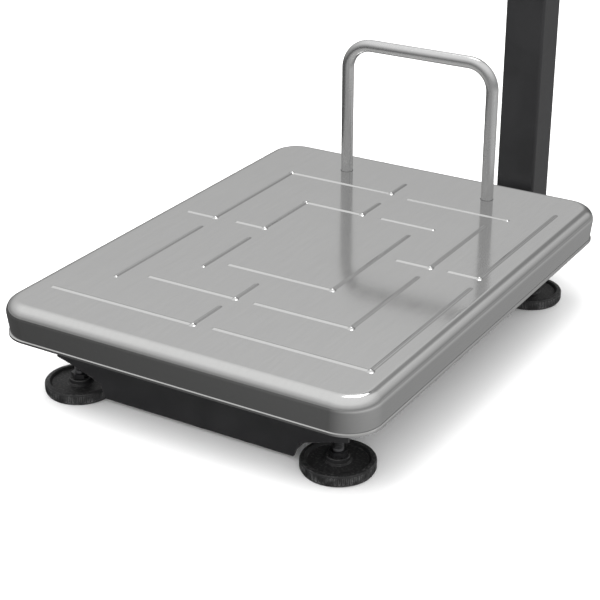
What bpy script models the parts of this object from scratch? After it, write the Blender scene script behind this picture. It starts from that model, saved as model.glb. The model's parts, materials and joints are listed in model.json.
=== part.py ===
"""Platform scale for weighing animals: steel pan on one load cell, levelling feet, column and indicator.

Units are metres, +Z is up, the front faces -Y. The origin is on the floor, under the middle of the object's
bounding box. Every separate piece is one object; a moving piece hangs from an empty on its joint's axis.
"""

import math

import bmesh
import bpy
from mathutils import Matrix, Vector

MM = 0.001
BOLT_SIDES, ROUND_SIDES = 12, 24    # facets round a bolt and its hole, and round larger pieces
GAP = 0.3 * MM                      # clearance between pieces that touch
SEAM = 0.2 * MM                     # how far a welded-on shape stands back from the sheet it joins

# --- driving dimensions -------------------------------------------------------------------------------
PAN_WIDTH, PAN_DEPTH = 450 * MM, 600 * MM
PAN_TOP = 116 * MM                  # height of the weighing surface
PAN_SKIRT = 40 * MM
PAN_CORNER, PAN_BEND = 38 * MM, 14 * MM
PAN_SHEET = 1.2 * MM
PAN_TAPER = 2.0 * MM                # how far the skirt draws in at its foot

FOOT_X, FOOT_Y = 162 * MM, 236 * MM
PAD_RADIUS, PAD_HEIGHT = 39 * MM, 13 * MM
HUB_RADIUS, HUB_TOP = 12 * MM, 16 * MM
STUD_RADIUS, STUD_TOP = 6 * MM, 69 * MM
LOCK_NUT_FLATS, COLLAR_FLATS, WELD_NUT_FLATS = 18 * MM, 17 * MM, 19 * MM
BOLT_RADIUS, BOLT_FLATS = 4 * MM, 13 * MM            # M8 bolts, stops and tilt pin

BASE_BOTTOM, BASE_TOP = 7 * MM, 57 * MM
BASE_HALF_DEPTH = 250 * MM          # outer faces of the two channels
CHANNEL_HALF_WIDTH = 181 * MM
CHANNEL_FLANGE = 32 * MM
PLATE = 3 * MM                      # sheet of the base frame
BEAM_HALF_WIDTH, BEAM_TOP = 35 * MM, 47 * MM

CELL_WIDTH, CELL_LENGTH, CELL_HEIGHT = 40 * MM, 150 * MM, 30 * MM
SPACER = 5 * MM
SPACER_LENGTH = 40 * MM
CELL_BORE_RADIUS, CELL_BORE_Y = 11 * MM, 17 * MM     # the two bores that thin the cell, and their offset
CELL_SLOT = 10 * MM                 # height of the slot that joins them
CELL_BOLT_Y = (45 * MM, 65 * MM)    # from the cell's middle, mirrored for the lower pair

RAIL_X = 98 * MM                    # upper rails and guard rail posts share this offset
UPPER_RAIL_WIDTH, UPPER_RAIL_HEIGHT, UPPER_RAIL_LENGTH = 40 * MM, 20 * MM, 524 * MM
BUFFER_RADIUS, BUFFER_Y = 14 * MM, 205 * MM
STOP_X, STOP_Y, STOP_GAP = 86 * MM, 228 * MM, 1.2 * MM

POST_RADIUS, POST_Y = 7.5 * MM, 239 * MM
RAIL_HEIGHT, RAIL_BEND = 175 * MM, 32 * MM   # guard rail above the pan, and its corner radius

COLUMN_X = 101 * MM
COLUMN_SIDE, COLUMN_WALL, COLUMN_CORNER = 50 * MM, 2 * MM, 4 * MM
COLUMN_GAP = 15 * MM                # from the pan's rear edge to the column
COLUMN_TOP = 720 * MM
BRACKET_PLATE, BRACKET_TOP = 4 * MM, 74 * MM
COLUMN_BOLT_Z = (30 * MM, 63 * MM)
LEVEL_TAB_TOP, LEVEL_TAB_REACH = 46 * MM, 36 * MM    # the bracket's tab for the spirit level

HINGE_HEIGHT = 38 * MM              # tilt axis above the column's top
TILT_REST = math.radians(30)        # how far the display leans back
CASE_WIDTH, CASE_HEIGHT = 220 * MM, 140 * MM
CASE_FRONT, CASE_SPLIT, CASE_BACK = -27 * MM, -5 * MM, 28 * MM
CASE_BOTTOM = 18 * MM               # above the tilt axis
CASE_WALL, CASE_RIM, CASE_CORNER = 2.5 * MM, 2 * MM, 12 * MM
KEY_NAMES = ("power", "zero", "tare", "hold", "unit")
KEY_PITCH, KEY_WIDTH, KEY_HEIGHT, KEY_Z = 37 * MM, 28 * MM, 17 * MM, 44 * MM
WINDOW_WIDTH, WINDOW_HEIGHT, WINDOW_Z = 168 * MM, 54 * MM, 116 * MM

CELL_BOTTOM = BEAM_TOP + GAP + SPACER + GAP
CELL_TOP = CELL_BOTTOM + CELL_HEIGHT
UPPER_BOTTOM = CELL_TOP + GAP + SPACER + GAP
UPPER_TOP = UPPER_BOTTOM + UPPER_RAIL_HEIGHT
COLUMN_Y = PAN_DEPTH / 2 + COLUMN_GAP + COLUMN_SIDE / 2
# The rearmost point is the leaned case's top rear edge, where the facet in the middle of its rounding is.
CASE_REACH = (
    (CASE_BACK - CASE_RIM) * math.cos(TILT_REST)
    + (CASE_BOTTOM + CASE_HEIGHT - CASE_RIM) * math.sin(TILT_REST)
    + CASE_RIM * math.cos(math.radians(45) - TILT_REST)
)
PAN_Y = -(COLUMN_Y + CASE_REACH - PAN_DEPTH / 2) / 2    # centres the whole object on the origin
CORNERS = {"front_left": (-1, -1), "front_right": (1, -1), "rear_left": (-1, 1), "rear_right": (1, 1)}


# --- scene and helpers --------------------------------------------------------------------------------
def clear_scene():
    for obj in list(bpy.data.objects):
        bpy.data.objects.remove(obj)


def new_collection(name):
    collection = bpy.data.collections.new(name)
    bpy.context.scene.collection.children.link(collection)
    return collection


def material(name, colour, roughness, metallic=0.0):
    made = bpy.data.materials.new(name)
    made.use_nodes = True
    shader = made.node_tree.nodes["Principled BSDF"]
    shader.inputs["Base Color"].default_value = (*colour, 1)
    shader.inputs["Roughness"].default_value = roughness
    shader.inputs["Metallic"].default_value = metallic
    return made


def move_to(obj, collection):
    for old in list(obj.users_collection):
        old.objects.unlink(obj)
    collection.objects.link(obj)


def finish(obj, name, surface=None, parent=None, helper=False):
    """Names an object, files it as a part or a cutter, and hangs it from its parent empty."""
    obj.name = name
    move_to(obj, CUTTERS if helper else PARTS)
    if helper:
        obj.hide_render = True
        obj.display_type = "WIRE"
    if surface:
        obj.data.materials.clear()
        obj.data.materials.append(surface)
    if parent:
        obj.parent = parent
    return obj


def empty(name, location, parent=None, rotation=(0, 0, 0)):
    made = bpy.data.objects.new(name, None)
    PARTS.objects.link(made)
    made.location = location
    made.rotation_euler = rotation
    made.parent = parent
    return made


def box(name, low, high, surface=None, parent=None, helper=False, bevel=0.0):
    size = Vector(high) - Vector(low)
    bpy.ops.mesh.primitive_cube_add(size=1, location=(Vector(high) + Vector(low)) / 2)
    obj = bpy.context.object
    obj.data.transform(Matrix.Diagonal((*size, 1)))
    if bevel:
        edge = obj.modifiers.new("edge", "BEVEL")
        edge.width = bevel
        edge.segments = 1
    return finish(obj, name, surface, parent, helper)


def prism(name, radius, low, high, axis="Z", sides=ROUND_SIDES, surface=None, parent=None, helper=False):
    """A round or many-sided bar from the point low to the point high, which differ along one axis."""
    turn = {"X": (0, math.pi / 2, 0), "Y": (math.pi / 2, 0, 0), "Z": (0, 0, 0)}[axis]
    low, high = Vector(low), Vector(high)
    bpy.ops.mesh.primitive_cylinder_add(
        vertices=sides, radius=radius, depth=(high - low).length, location=(low + high) / 2, rotation=turn
    )
    obj = bpy.context.object
    if sides > 8:
        obj.data.shade_smooth()
        obj.data.set_sharp_from_angle(angle=math.radians(35))
    return finish(obj, name, surface, parent, helper)


def hexagon_radius(flats):
    return flats / math.sqrt(3)


def turned(name, profile, location, surface=None, parent=None, steps=ROUND_SIDES):
    """A turned piece. The profile runs from the axis at the top, down the outside, to the axis below."""
    mesh = bpy.data.meshes.new(name)
    points = [(radius, 0, height) for radius, height in profile]
    mesh.from_pydata(points, [(i, i + 1) for i in range(len(points) - 1)], [])
    obj = bpy.data.objects.new(name, mesh)
    PARTS.objects.link(obj)
    obj.location = location
    spin = obj.modifiers.new("spin", "SCREW")
    spin.steps = spin.render_steps = steps
    spin.use_merge_vertices = True
    spin.merge_threshold = 0.00005
    spin.use_normal_calculate = False
    return finish(obj, name, surface, parent)


def as_mesh(obj, name):
    """The object as the viewport shows it, as a plain mesh with welded caps."""
    bpy.context.view_layer.update()
    graph = bpy.context.evaluated_depsgraph_get()
    mesh = bpy.data.meshes.new_from_object(obj.evaluated_get(graph))
    shape = bmesh.new()
    shape.from_mesh(mesh)
    bmesh.ops.remove_doubles(shape, verts=shape.verts, dist=0.00001)
    shape.to_mesh(mesh)
    shape.free()
    made = bpy.data.objects.new(name, mesh)
    made.matrix_world = obj.matrix_world
    bpy.context.scene.collection.objects.link(made)
    bpy.data.objects.remove(obj)
    return made


def plate(name, outline, low, high, normal="Z", surface=None, parent=None, helper=False):
    """A flat outline given thickness from low to high along its normal.

    The outline is in X and Y for a normal of Z, in Y and Z for X, and in X and Z for Y.
    """
    curve = bpy.data.curves.new(name, "CURVE")
    curve.dimensions = "2D"
    curve.fill_mode = "BOTH"
    curve.extrude = (high - low) / 2
    spline = curve.splines.new("POLY")
    spline.points.add(len(outline) - 1)
    for place, (u, v) in zip(spline.points, outline):
        place.co = (u, v, 0, 1)
    spline.use_cyclic_u = True
    obj = bpy.data.objects.new(name, curve)
    bpy.context.scene.collection.objects.link(obj)
    middle = (low + high) / 2
    across, along, out = {
        "Z": ((1, 0, 0), (0, 1, 0), (0, 0, middle)),
        "X": ((0, 1, 0), (0, 0, 1), (middle, 0, 0)),
        "Y": ((1, 0, 0), (0, 0, 1), (0, middle, 0)),
    }[normal]
    across, along = Vector(across), Vector(along)
    turn = Matrix((across, along, across.cross(along))).transposed().to_4x4()
    obj.matrix_world = Matrix.Translation(out) @ turn
    return finish(as_mesh(obj, name), name, surface, parent, helper)


def rounded_rectangle(half_width, half_depth, radius, centre=(0, 0), steps=3):
    points = []
    for quarter, (sx, sy) in enumerate(((1, 1), (-1, 1), (-1, -1), (1, -1))):
        for step in range(steps + 1):
            angle = math.pi / 2 * (quarter + step / steps)
            points.append((
                centre[0] + sx * (half_width - radius) + radius * math.cos(angle),
                centre[1] + sy * (half_depth - radius) + radius * math.sin(angle),
            ))
    return points


def boolean(obj, operation, *others):
    for other in others:
        step = obj.modifiers.new(operation.lower(), "BOOLEAN")
        step.operation = operation
        step.object = other
    return obj


def join(obj, *others):
    """Fuses helpers into one piece, as welds do."""
    return boolean(obj, "UNION", *others)


def cut(obj, *others):
    return boolean(obj, "DIFFERENCE", *others)


# --- platform -----------------------------------------------------------------------------------------
def pan(parent):
    """The drawn tray: rounded corners, a rolled bend round the top and a skirt that draws in a little."""
    bpy.ops.mesh.primitive_cube_add(size=1, location=(0, 0, PAN_TOP - PAN_SKIRT / 2))
    obj = bpy.context.object
    obj.data.transform(Matrix.Diagonal((PAN_WIDTH, PAN_DEPTH, PAN_SKIRT, 1)))
    shape = bmesh.new()
    shape.from_mesh(obj.data)
    upright = [e for e in shape.edges if abs(e.verts[0].co.z - e.verts[1].co.z) > PAN_SKIRT / 2]
    bmesh.ops.bevel(shape, geom=upright, offset=PAN_CORNER, segments=7, profile=0.5, affect="EDGES")
    top = max(v.co.z for v in shape.verts)
    rim = [e for e in shape.edges if all(v.co.z > top - GAP for v in e.verts)]
    bmesh.ops.bevel(shape, geom=rim, offset=PAN_BEND, segments=4, profile=0.5, affect="EDGES")
    foot = min(v.co.z for v in shape.verts)
    underside = [f for f in shape.faces if all(v.co.z < foot + GAP for v in f.verts)]
    bmesh.ops.delete(shape, geom=underside, context="FACES_ONLY")
    for vertex in shape.verts:
        if vertex.co.z < foot + GAP:
            vertex.co.x *= 1 - 2 * PAN_TAPER / PAN_WIDTH
            vertex.co.y *= 1 - 2 * PAN_TAPER / PAN_DEPTH
    shape.to_mesh(obj.data)
    shape.free()
    obj.data.shade_smooth()
    obj.data.set_sharp_from_angle(angle=math.radians(35))
    sheet = obj.modifiers.new("sheet", "SOLIDIFY")
    sheet.thickness = PAN_SHEET
    sheet.offset = -1
    sheet.use_even_offset = True
    finish(obj, "platform_pan", STEEL, parent)
    for side, sign in (("left", -1), ("right", 1)):
        place = (sign * RAIL_X, POST_Y)
        hole = prism(
            f"pan_hole_{side}", POST_RADIUS + 2 * GAP, (*place, UPPER_TOP), (*place, PAN_TOP + PAN_BEND),
            parent=parent, helper=True,
        )
        cut(obj, hole)


def upper_frame(parent):
    """Two box rails carry the pan, and a channel-shaped crosshead ties them to the load cell's free end."""
    for side, sign in (("left", -1), ("right", 1)):
        left, right = sign * RAIL_X - UPPER_RAIL_WIDTH / 2, sign * RAIL_X + UPPER_RAIL_WIDTH / 2
        reach, wall = UPPER_RAIL_LENGTH / 2, 2 * MM
        rail = box(
            f"upper_rail_{side}", (left, -reach, UPPER_BOTTOM), (right, reach, UPPER_TOP), PAINT, parent,
        )
        cut(rail, box(f"rail_inside_{side}", (left + wall, -reach - wall, UPPER_BOTTOM + wall),
                      (right - wall, reach + wall, UPPER_TOP - wall), parent=parent, helper=True))
        place = (sign * RAIL_X, POST_Y)
        cut(rail, prism(
            f"post_hole_{side}", POST_RADIUS + GAP, (*place, UPPER_BOTTOM - PLATE),
            (*place, UPPER_TOP + PLATE), parent=parent, helper=True,
        ))
    inner = RAIL_X - UPPER_RAIL_WIDTH / 2 - GAP
    reach = 92 * MM
    head = box(
        "upper_crosshead", (-inner, -reach, UPPER_BOTTOM), (inner, reach, UPPER_BOTTOM + SPACER),
        PAINT, parent,
    )
    for sign in (-1, 1):
        flange = box(
            f"crosshead_flange_{sign + 2}",
            (-inner, min(sign * reach, sign * (reach - PLATE)), UPPER_BOTTOM),
            (inner, max(sign * reach, sign * (reach - PLATE)), UPPER_TOP - 1 * MM),
            parent=parent, helper=True,
        )
        join(head, flange)
    for y in CELL_BOLT_Y:
        cut(head, prism(
            f"crosshead_hole_{round(y / MM)}", BOLT_RADIUS + GAP, (0, y, UPPER_BOTTOM - PLATE),
            (0, y, UPPER_BOTTOM + 2 * SPACER), sides=BOLT_SIDES, parent=parent, helper=True,
        ))
    for corner, (sx, sy) in CORNERS.items():
        buffer_height, chamfer = PAN_TOP - PAN_SHEET - UPPER_TOP - 2 * GAP, 2 * MM
        turned(
            f"pan_buffer_{corner}",
            [(0, buffer_height), (BUFFER_RADIUS - chamfer, buffer_height),
             (BUFFER_RADIUS, buffer_height - chamfer), (BUFFER_RADIUS, 0), (0, 0)],
            (sx * RAIL_X, sy * BUFFER_Y, UPPER_TOP + GAP), RUBBER, parent, steps=16,
        )


def guard_rail(parent):
    """One bent tube: two posts through the pan into the upper rails, joined by a crossbar."""
    low = UPPER_BOTTOM + 1 * MM
    top = PAN_TOP + RAIL_HEIGHT - POST_RADIUS
    points = [(-RAIL_X, low)]
    for sign, start in ((-1, math.pi), (1, math.pi / 2)):
        centre = (sign * (RAIL_X - RAIL_BEND), top - RAIL_BEND)
        for step in range(9):
            angle = start - math.pi / 2 * step / 8
            x, z = RAIL_BEND * math.cos(angle), RAIL_BEND * math.sin(angle)
            points.append((centre[0] + x, centre[1] + z))
    points.append((RAIL_X, low))
    curve = bpy.data.curves.new("guard_rail", "CURVE")
    curve.dimensions = "3D"
    curve.bevel_depth = POST_RADIUS
    curve.bevel_resolution = 4
    curve.use_fill_caps = True
    spline = curve.splines.new("POLY")
    spline.points.add(len(points) - 1)
    for place, (x, z) in zip(spline.points, points):
        place.co = (x, POST_Y, z, 1)
    obj = bpy.data.objects.new("guard_rail", curve)
    PARTS.objects.link(obj)
    finish(obj, "guard_rail", STEEL, parent)
    for side, sign in (("left", -1), ("right", 1)):
        place = (sign * RAIL_X, POST_Y)
        prism(
            f"rail_nut_{side}", hexagon_radius(BOLT_FLATS), (*place, UPPER_BOTTOM - GAP - 7 * MM),
            (*place, UPPER_BOTTOM - GAP), sides=6, surface=ZINC, parent=parent,
        )


# --- load cell ----------------------------------------------------------------------------------------
def load_cell(base, platform):
    """A single-point cell: bolted to the beam at its front end and to the crosshead at its rear end."""
    half, end_y = CELL_WIDTH / 2, CELL_LENGTH / 2
    cell = box("load_cell", (-half, -end_y, CELL_BOTTOM), (half, end_y, CELL_TOP), ALUMINIUM, base)
    middle = (CELL_BOTTOM + CELL_TOP) / 2
    bores = []
    for sign in (-1, 1):
        y = sign * CELL_BORE_Y
        bores.append(prism(
            f"cell_bore_{sign + 2}", CELL_BORE_RADIUS, (-CELL_WIDTH, y, middle), (CELL_WIDTH, y, middle), "X",
            parent=base, helper=True,
        ))
    slot = box(
        "cell_slot", (-CELL_WIDTH, -CELL_BORE_Y, middle - CELL_SLOT / 2),
        (CELL_WIDTH, CELL_BORE_Y, middle + CELL_SLOT / 2), parent=base, helper=True,
    )
    cut(cell, *bores, slot)
    depth, head_radius, head_height = 15 * MM, 6.5 * MM, 8 * MM
    ends = (("lower", -1, BEAM_TOP + GAP, base), ("upper", 1, CELL_TOP + GAP, platform))
    for end, sign, bottom, parent in ends:
        low, high = sorted((sign * end_y, sign * (end_y - SPACER_LENGTH)))
        spacer = box(
            f"load_cell_spacer_{end}", (-half, low, bottom), (half, high, bottom + SPACER), ZINC, parent,
        )
        for place, y in zip(("inner", "outer"), CELL_BOLT_Y):
            y *= sign
            tip = CELL_BOTTOM + depth if sign < 0 else CELL_TOP - depth
            face = BEAM_TOP - PLATE - GAP if sign < 0 else UPPER_BOTTOM + SPACER + GAP
            shank_low, shank_high = sorted((tip, face))
            head_low, head_high = sorted((face, face + sign * head_height))
            bolt = prism(
                f"cell_bolt_{end}_{place}", BOLT_RADIUS, (0, y, shank_low), (0, y, shank_high),
                sides=BOLT_SIDES, surface=ZINC, parent=parent,
            )
            head = prism(
                f"cell_bolt_head_{end}_{place}", head_radius, (0, y, head_low), (0, y, head_high),
                parent=parent, helper=True,
            )
            join(bolt, head)
            bore = prism(
                f"cell_hole_{end}_{place}", BOLT_RADIUS + GAP, (0, y, min(tip, bottom) - 1 * MM),
                (0, y, max(tip, bottom + SPACER) + 1 * MM), sides=BOLT_SIDES, parent=base, helper=True,
            )
            cut(cell, bore)
            cut(spacer, bore)


# --- base frame ---------------------------------------------------------------------------------------
def channel(name, sign, parent):
    """A folded channel across the front or rear. Its ends are cut up and away over the feet."""
    foot_clear = 118 * MM
    outline = []
    for side in (1, -1):
        end = [
            (foot_clear, BASE_BOTTOM), (foot_clear + 6 * MM, 24 * MM), (160 * MM, 36 * MM),
            (CHANNEL_HALF_WIDTH, 41 * MM), (CHANNEL_HALF_WIDTH, BASE_TOP),
        ]
        outline += [(side * x, z) for x, z in (end if side > 0 else reversed(end))]
    face = sorted((sign * BASE_HALF_DEPTH, sign * (BASE_HALF_DEPTH - PLATE)))
    web = plate(name, outline, *face, "Y", PAINT, parent)
    depth = sorted((sign * (BASE_HALF_DEPTH - PLATE / 2), sign * (BASE_HALF_DEPTH - CHANNEL_FLANGE)))
    width = CHANNEL_HALF_WIDTH - SEAM
    top = box(f"{name}_top", (-width, depth[0], BASE_TOP - PLATE), (width, depth[1], BASE_TOP - SEAM),
              parent=parent, helper=True)
    bottom = box(f"{name}_bottom", (-foot_clear + 4 * MM, depth[0], BASE_BOTTOM + SEAM),
                 (foot_clear - 4 * MM, depth[1], BASE_BOTTOM + PLATE), parent=parent, helper=True)
    join(web, top, bottom)
    for side in (-1, 1):
        place = (side * FOOT_X, sign * FOOT_Y)
        boss = prism(f"{name}_nut_{side + 2}", hexagon_radius(WELD_NUT_FLATS), (*place, BASE_TOP - 1 * MM),
                     (*place, BASE_TOP + 9 * MM), sides=6, parent=parent, helper=True)
        join(web, boss)
    for side in (-1, 1):
        place = (side * FOOT_X, sign * FOOT_Y)
        hole = prism(f"{name}_stud_hole_{side + 2}", STUD_RADIUS + GAP, (*place, BASE_TOP - 2 * PLATE),
                     (*place, BASE_TOP + 12 * MM), sides=BOLT_SIDES, parent=parent, helper=True)
        cut(web, hole)


def base_frame(parent):
    channel("base_front_channel", -1, parent)
    channel("base_rear_channel", 1, parent)
    reach = BASE_HALF_DEPTH - PLATE - GAP
    low = BASE_BOTTOM + PLATE + GAP
    outside = box(
        "base_centre_beam", (-BEAM_HALF_WIDTH, -reach, low), (BEAM_HALF_WIDTH, reach, BEAM_TOP),
        PAINT, parent,
    )
    inside = box("beam_inside", (PLATE - BEAM_HALF_WIDTH, -reach - PLATE, low - PLATE),
                 (BEAM_HALF_WIDTH - PLATE, reach + PLATE, BEAM_TOP - PLATE), parent=parent, helper=True)
    cut(outside, inside)
    for y in CELL_BOLT_Y:
        cut(outside, prism(
            f"beam_hole_{round(y / MM)}", BOLT_RADIUS + GAP, (0, -y, BEAM_TOP - 2 * PLATE),
            (0, -y, BEAM_TOP + PLATE), sides=BOLT_SIDES, parent=parent, helper=True,
        ))
    stop_top = UPPER_BOTTOM - STOP_GAP
    for corner, (sx, sy) in CORNERS.items():
        x, y = sx * STOP_X, sy * STOP_Y
        stop = prism(
            f"overload_stop_{corner}", BOLT_RADIUS, (x, y, BASE_TOP + GAP), (x, y, stop_top - 1 * MM),
            sides=BOLT_SIDES, surface=ZINC, parent=parent,
        )
        nut = prism(f"stop_nut_{corner}", hexagon_radius(12 * MM), (x, y, BASE_TOP + GAP),
                    (x, y, BASE_TOP + 7 * MM), sides=6, parent=parent, helper=True)
        head = prism(f"stop_head_{corner}", 6 * MM, (x, y, stop_top - 5 * MM), (x, y, stop_top),
                     parent=parent, helper=True)
        join(stop, nut, head)


# --- levelling feet -----------------------------------------------------------------------------------
def levelling_foot(corner, sx, sy, base, centre):
    """A threaded stud turns in the base's nut and in the pad's hub, so the pad only rises and falls."""
    x, y = sx * FOOT_X, sy * FOOT_Y
    lift = empty(f"foot_lift_{corner}", (x, y, 0), centre)
    turn = empty(f"foot_turn_{corner}", (0, 0, 0), lift)
    rim, dish, round_off = 5 * MM, 10 * MM, 2 * MM
    socket, socket_floor = STUD_RADIUS + 1 * MM, 8 * MM
    turned(
        f"foot_pad_{corner}",
        [(0, socket_floor), (socket, socket_floor), (socket, HUB_TOP), (HUB_RADIUS, HUB_TOP),
         (HUB_RADIUS + 1 * MM, dish - 1 * MM), (PAD_RADIUS - rim - round_off, dish),
         (PAD_RADIUS - rim, PAD_HEIGHT), (PAD_RADIUS - round_off, PAD_HEIGHT),
         (PAD_RADIUS, PAD_HEIGHT - round_off), (PAD_RADIUS, 3 * MM), (PAD_RADIUS - 3 * MM, 0), (0, 0)],
        (0, 0, 0), RUBBER, lift,
    )
    stud = prism(f"foot_stud_{corner}", STUD_RADIUS, (0, 0, socket_floor + GAP), (0, 0, STUD_TOP),
                 sides=BOLT_SIDES, surface=ZINC, parent=turn)
    collar = prism(f"stud_collar_{corner}", hexagon_radius(COLLAR_FLATS), (0, 0, HUB_TOP + GAP),
                   (0, 0, HUB_TOP + 6 * MM), sides=6, parent=turn, helper=True)
    join(stud, collar)
    nut_top = BASE_TOP - PLATE - GAP
    nut = prism(f"foot_lock_nut_{corner}", hexagon_radius(LOCK_NUT_FLATS), (x, y, nut_top - 8 * MM),
                (x, y, nut_top), sides=6, surface=ZINC, parent=base)
    cut(nut, prism(
        f"lock_nut_hole_{corner}", STUD_RADIUS + GAP, (x, y, nut_top - 12 * MM), (x, y, nut_top + 4 * MM),
        sides=BOLT_SIDES, parent=base, helper=True,
    ))


# --- column -------------------------------------------------------------------------------------------
def column(parent):
    """The square tube stands in a bracket behind the rear channel, held by two cross bolts."""
    half = COLUMN_SIDE / 2
    seat = BASE_BOTTOM + 13 * MM    # clear of the rear foot when it is screwed up
    foot = seat + BRACKET_PLATE + GAP
    centre, hollow = (COLUMN_X, COLUMN_Y), half - COLUMN_WALL
    outside = rounded_rectangle(half, half, COLUMN_CORNER, centre)
    inner = rounded_rectangle(hollow, hollow, COLUMN_CORNER - COLUMN_WALL, centre)
    tube = plate("column", outside, foot, COLUMN_TOP, "Z", PAINT, parent)
    cut(tube, plate(
        "column_inside", inner, foot - 5 * MM, COLUMN_TOP + 5 * MM, "Z", parent=parent, helper=True,
    ))
    front, rear = BASE_HALF_DEPTH + GAP, COLUMN_Y + half
    inside = half + GAP
    behind_skirt = PAN_DEPTH / 2 + 8 * MM
    web_top = BASE_TOP - 5 * MM
    cheek = [
        (front, seat), (rear, seat), (rear, BRACKET_TOP), (behind_skirt, BRACKET_TOP),
        (behind_skirt, BASE_TOP), (front, web_top),
    ]
    width = inside + BRACKET_PLATE
    left_x, right_x = COLUMN_X - width, COLUMN_X + width
    left = plate("column_bracket", cheek, left_x, COLUMN_X - inside, "X", PAINT, parent)
    right = plate("bracket_cheek", cheek, COLUMN_X + inside, right_x, "X", parent=parent, helper=True)
    back = box("bracket_web", (left_x, front, seat), (right_x, front + BRACKET_PLATE, web_top),
               parent=parent, helper=True)
    floor = box("bracket_seat", (left_x, front, seat), (right_x, rear, seat + BRACKET_PLATE),
                parent=parent, helper=True)
    tab_left = left_x - LEVEL_TAB_REACH
    tab = box("bracket_tab", (tab_left, behind_skirt, LEVEL_TAB_TOP - BRACKET_PLATE),
              (left_x + 1 * MM, behind_skirt + LEVEL_TAB_REACH, LEVEL_TAB_TOP), parent=parent, helper=True)
    join(left, right, back, floor, tab)
    hexagon, head_height, nut_height = hexagon_radius(BOLT_FLATS), 5.5 * MM, 6.5 * MM
    for place, z in zip(("lower", "upper"), COLUMN_BOLT_Z):
        shank = (left_x - 1 * MM, COLUMN_Y, z), (right_x + 1 * MM, COLUMN_Y, z)
        bolt = prism(f"column_bolt_{place}", BOLT_RADIUS, *shank, "X", sides=BOLT_SIDES, surface=ZINC,
                     parent=parent)
        head = prism(f"column_bolt_head_{place}", hexagon, (right_x + GAP, COLUMN_Y, z),
                     (right_x + head_height, COLUMN_Y, z), "X", sides=6, parent=parent, helper=True)
        nut = prism(f"column_bolt_nut_{place}", hexagon, (left_x - nut_height, COLUMN_Y, z),
                    (left_x - GAP, COLUMN_Y, z), "X", sides=6, parent=parent, helper=True)
        join(bolt, head, nut)
        hole = prism(f"column_bolt_hole_{place}", BOLT_RADIUS + GAP, (left_x - width, COLUMN_Y, z),
                     (right_x + width, COLUMN_Y, z), "X", sides=BOLT_SIDES, parent=parent, helper=True)
        cut(left, hole)
        cut(tube, hole)
    grommet_hole(tube, parent)
    half_reach = LEVEL_TAB_REACH / 2
    spirit_level((tab_left + half_reach, behind_skirt + half_reach, LEVEL_TAB_TOP + GAP), parent)


def grommet_hole(tube, parent):
    """A rubber grommet in the column's rear wall, where the signal lead would leave the tube."""
    z, wall, radius = 640 * MM, COLUMN_Y + COLUMN_SIDE / 2, 8 * MM
    cut(tube, prism(
        "grommet_cutter", radius + GAP, (COLUMN_X, wall - 6 * MM, z), (COLUMN_X, wall + 6 * MM, z), "Y",
        sides=BOLT_SIDES, parent=parent, helper=True,
    ))
    ring = prism("column_grommet", radius, (COLUMN_X, wall - 5 * MM, z), (COLUMN_X, wall + 1 * MM, z), "Y",
                 sides=BOLT_SIDES, surface=RUBBER, parent=parent)
    lip = prism("grommet_lip", radius + 3 * MM, (COLUMN_X, wall + GAP, z), (COLUMN_X, wall + 2.5 * MM, z),
                "Y", sides=BOLT_SIDES, parent=parent, helper=True)
    bore = prism("grommet_bore", 4 * MM, (COLUMN_X, wall - 9 * MM, z), (COLUMN_X, wall + 9 * MM, z), "Y",
                 parent=parent, helper=True)
    join(ring, lip)
    cut(ring, bore)


def spirit_level(place, parent):
    """A bull's-eye level: a cup with a domed lens in it."""
    cup, cup_height, cup_floor, lens = 13 * MM, 9 * MM, 4 * MM, 10 * MM
    turned(
        "spirit_level_body",
        [(0, cup_floor), (lens + GAP, cup_floor), (lens + GAP, cup_height), (cup - 1 * MM, cup_height),
         (cup, cup_height - 1 * MM), (cup, 0), (0, 0)],
        place, ALUMINIUM, parent,
    )
    turned(
        "spirit_level_lens", [(0, 6 * MM), (lens * 0.6, 5.6 * MM), (lens, 4.5 * MM), (lens, 0), (0, 0)],
        (place[0], place[1], place[2] + cup_floor + GAP), CLEAR, parent,
    )


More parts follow.
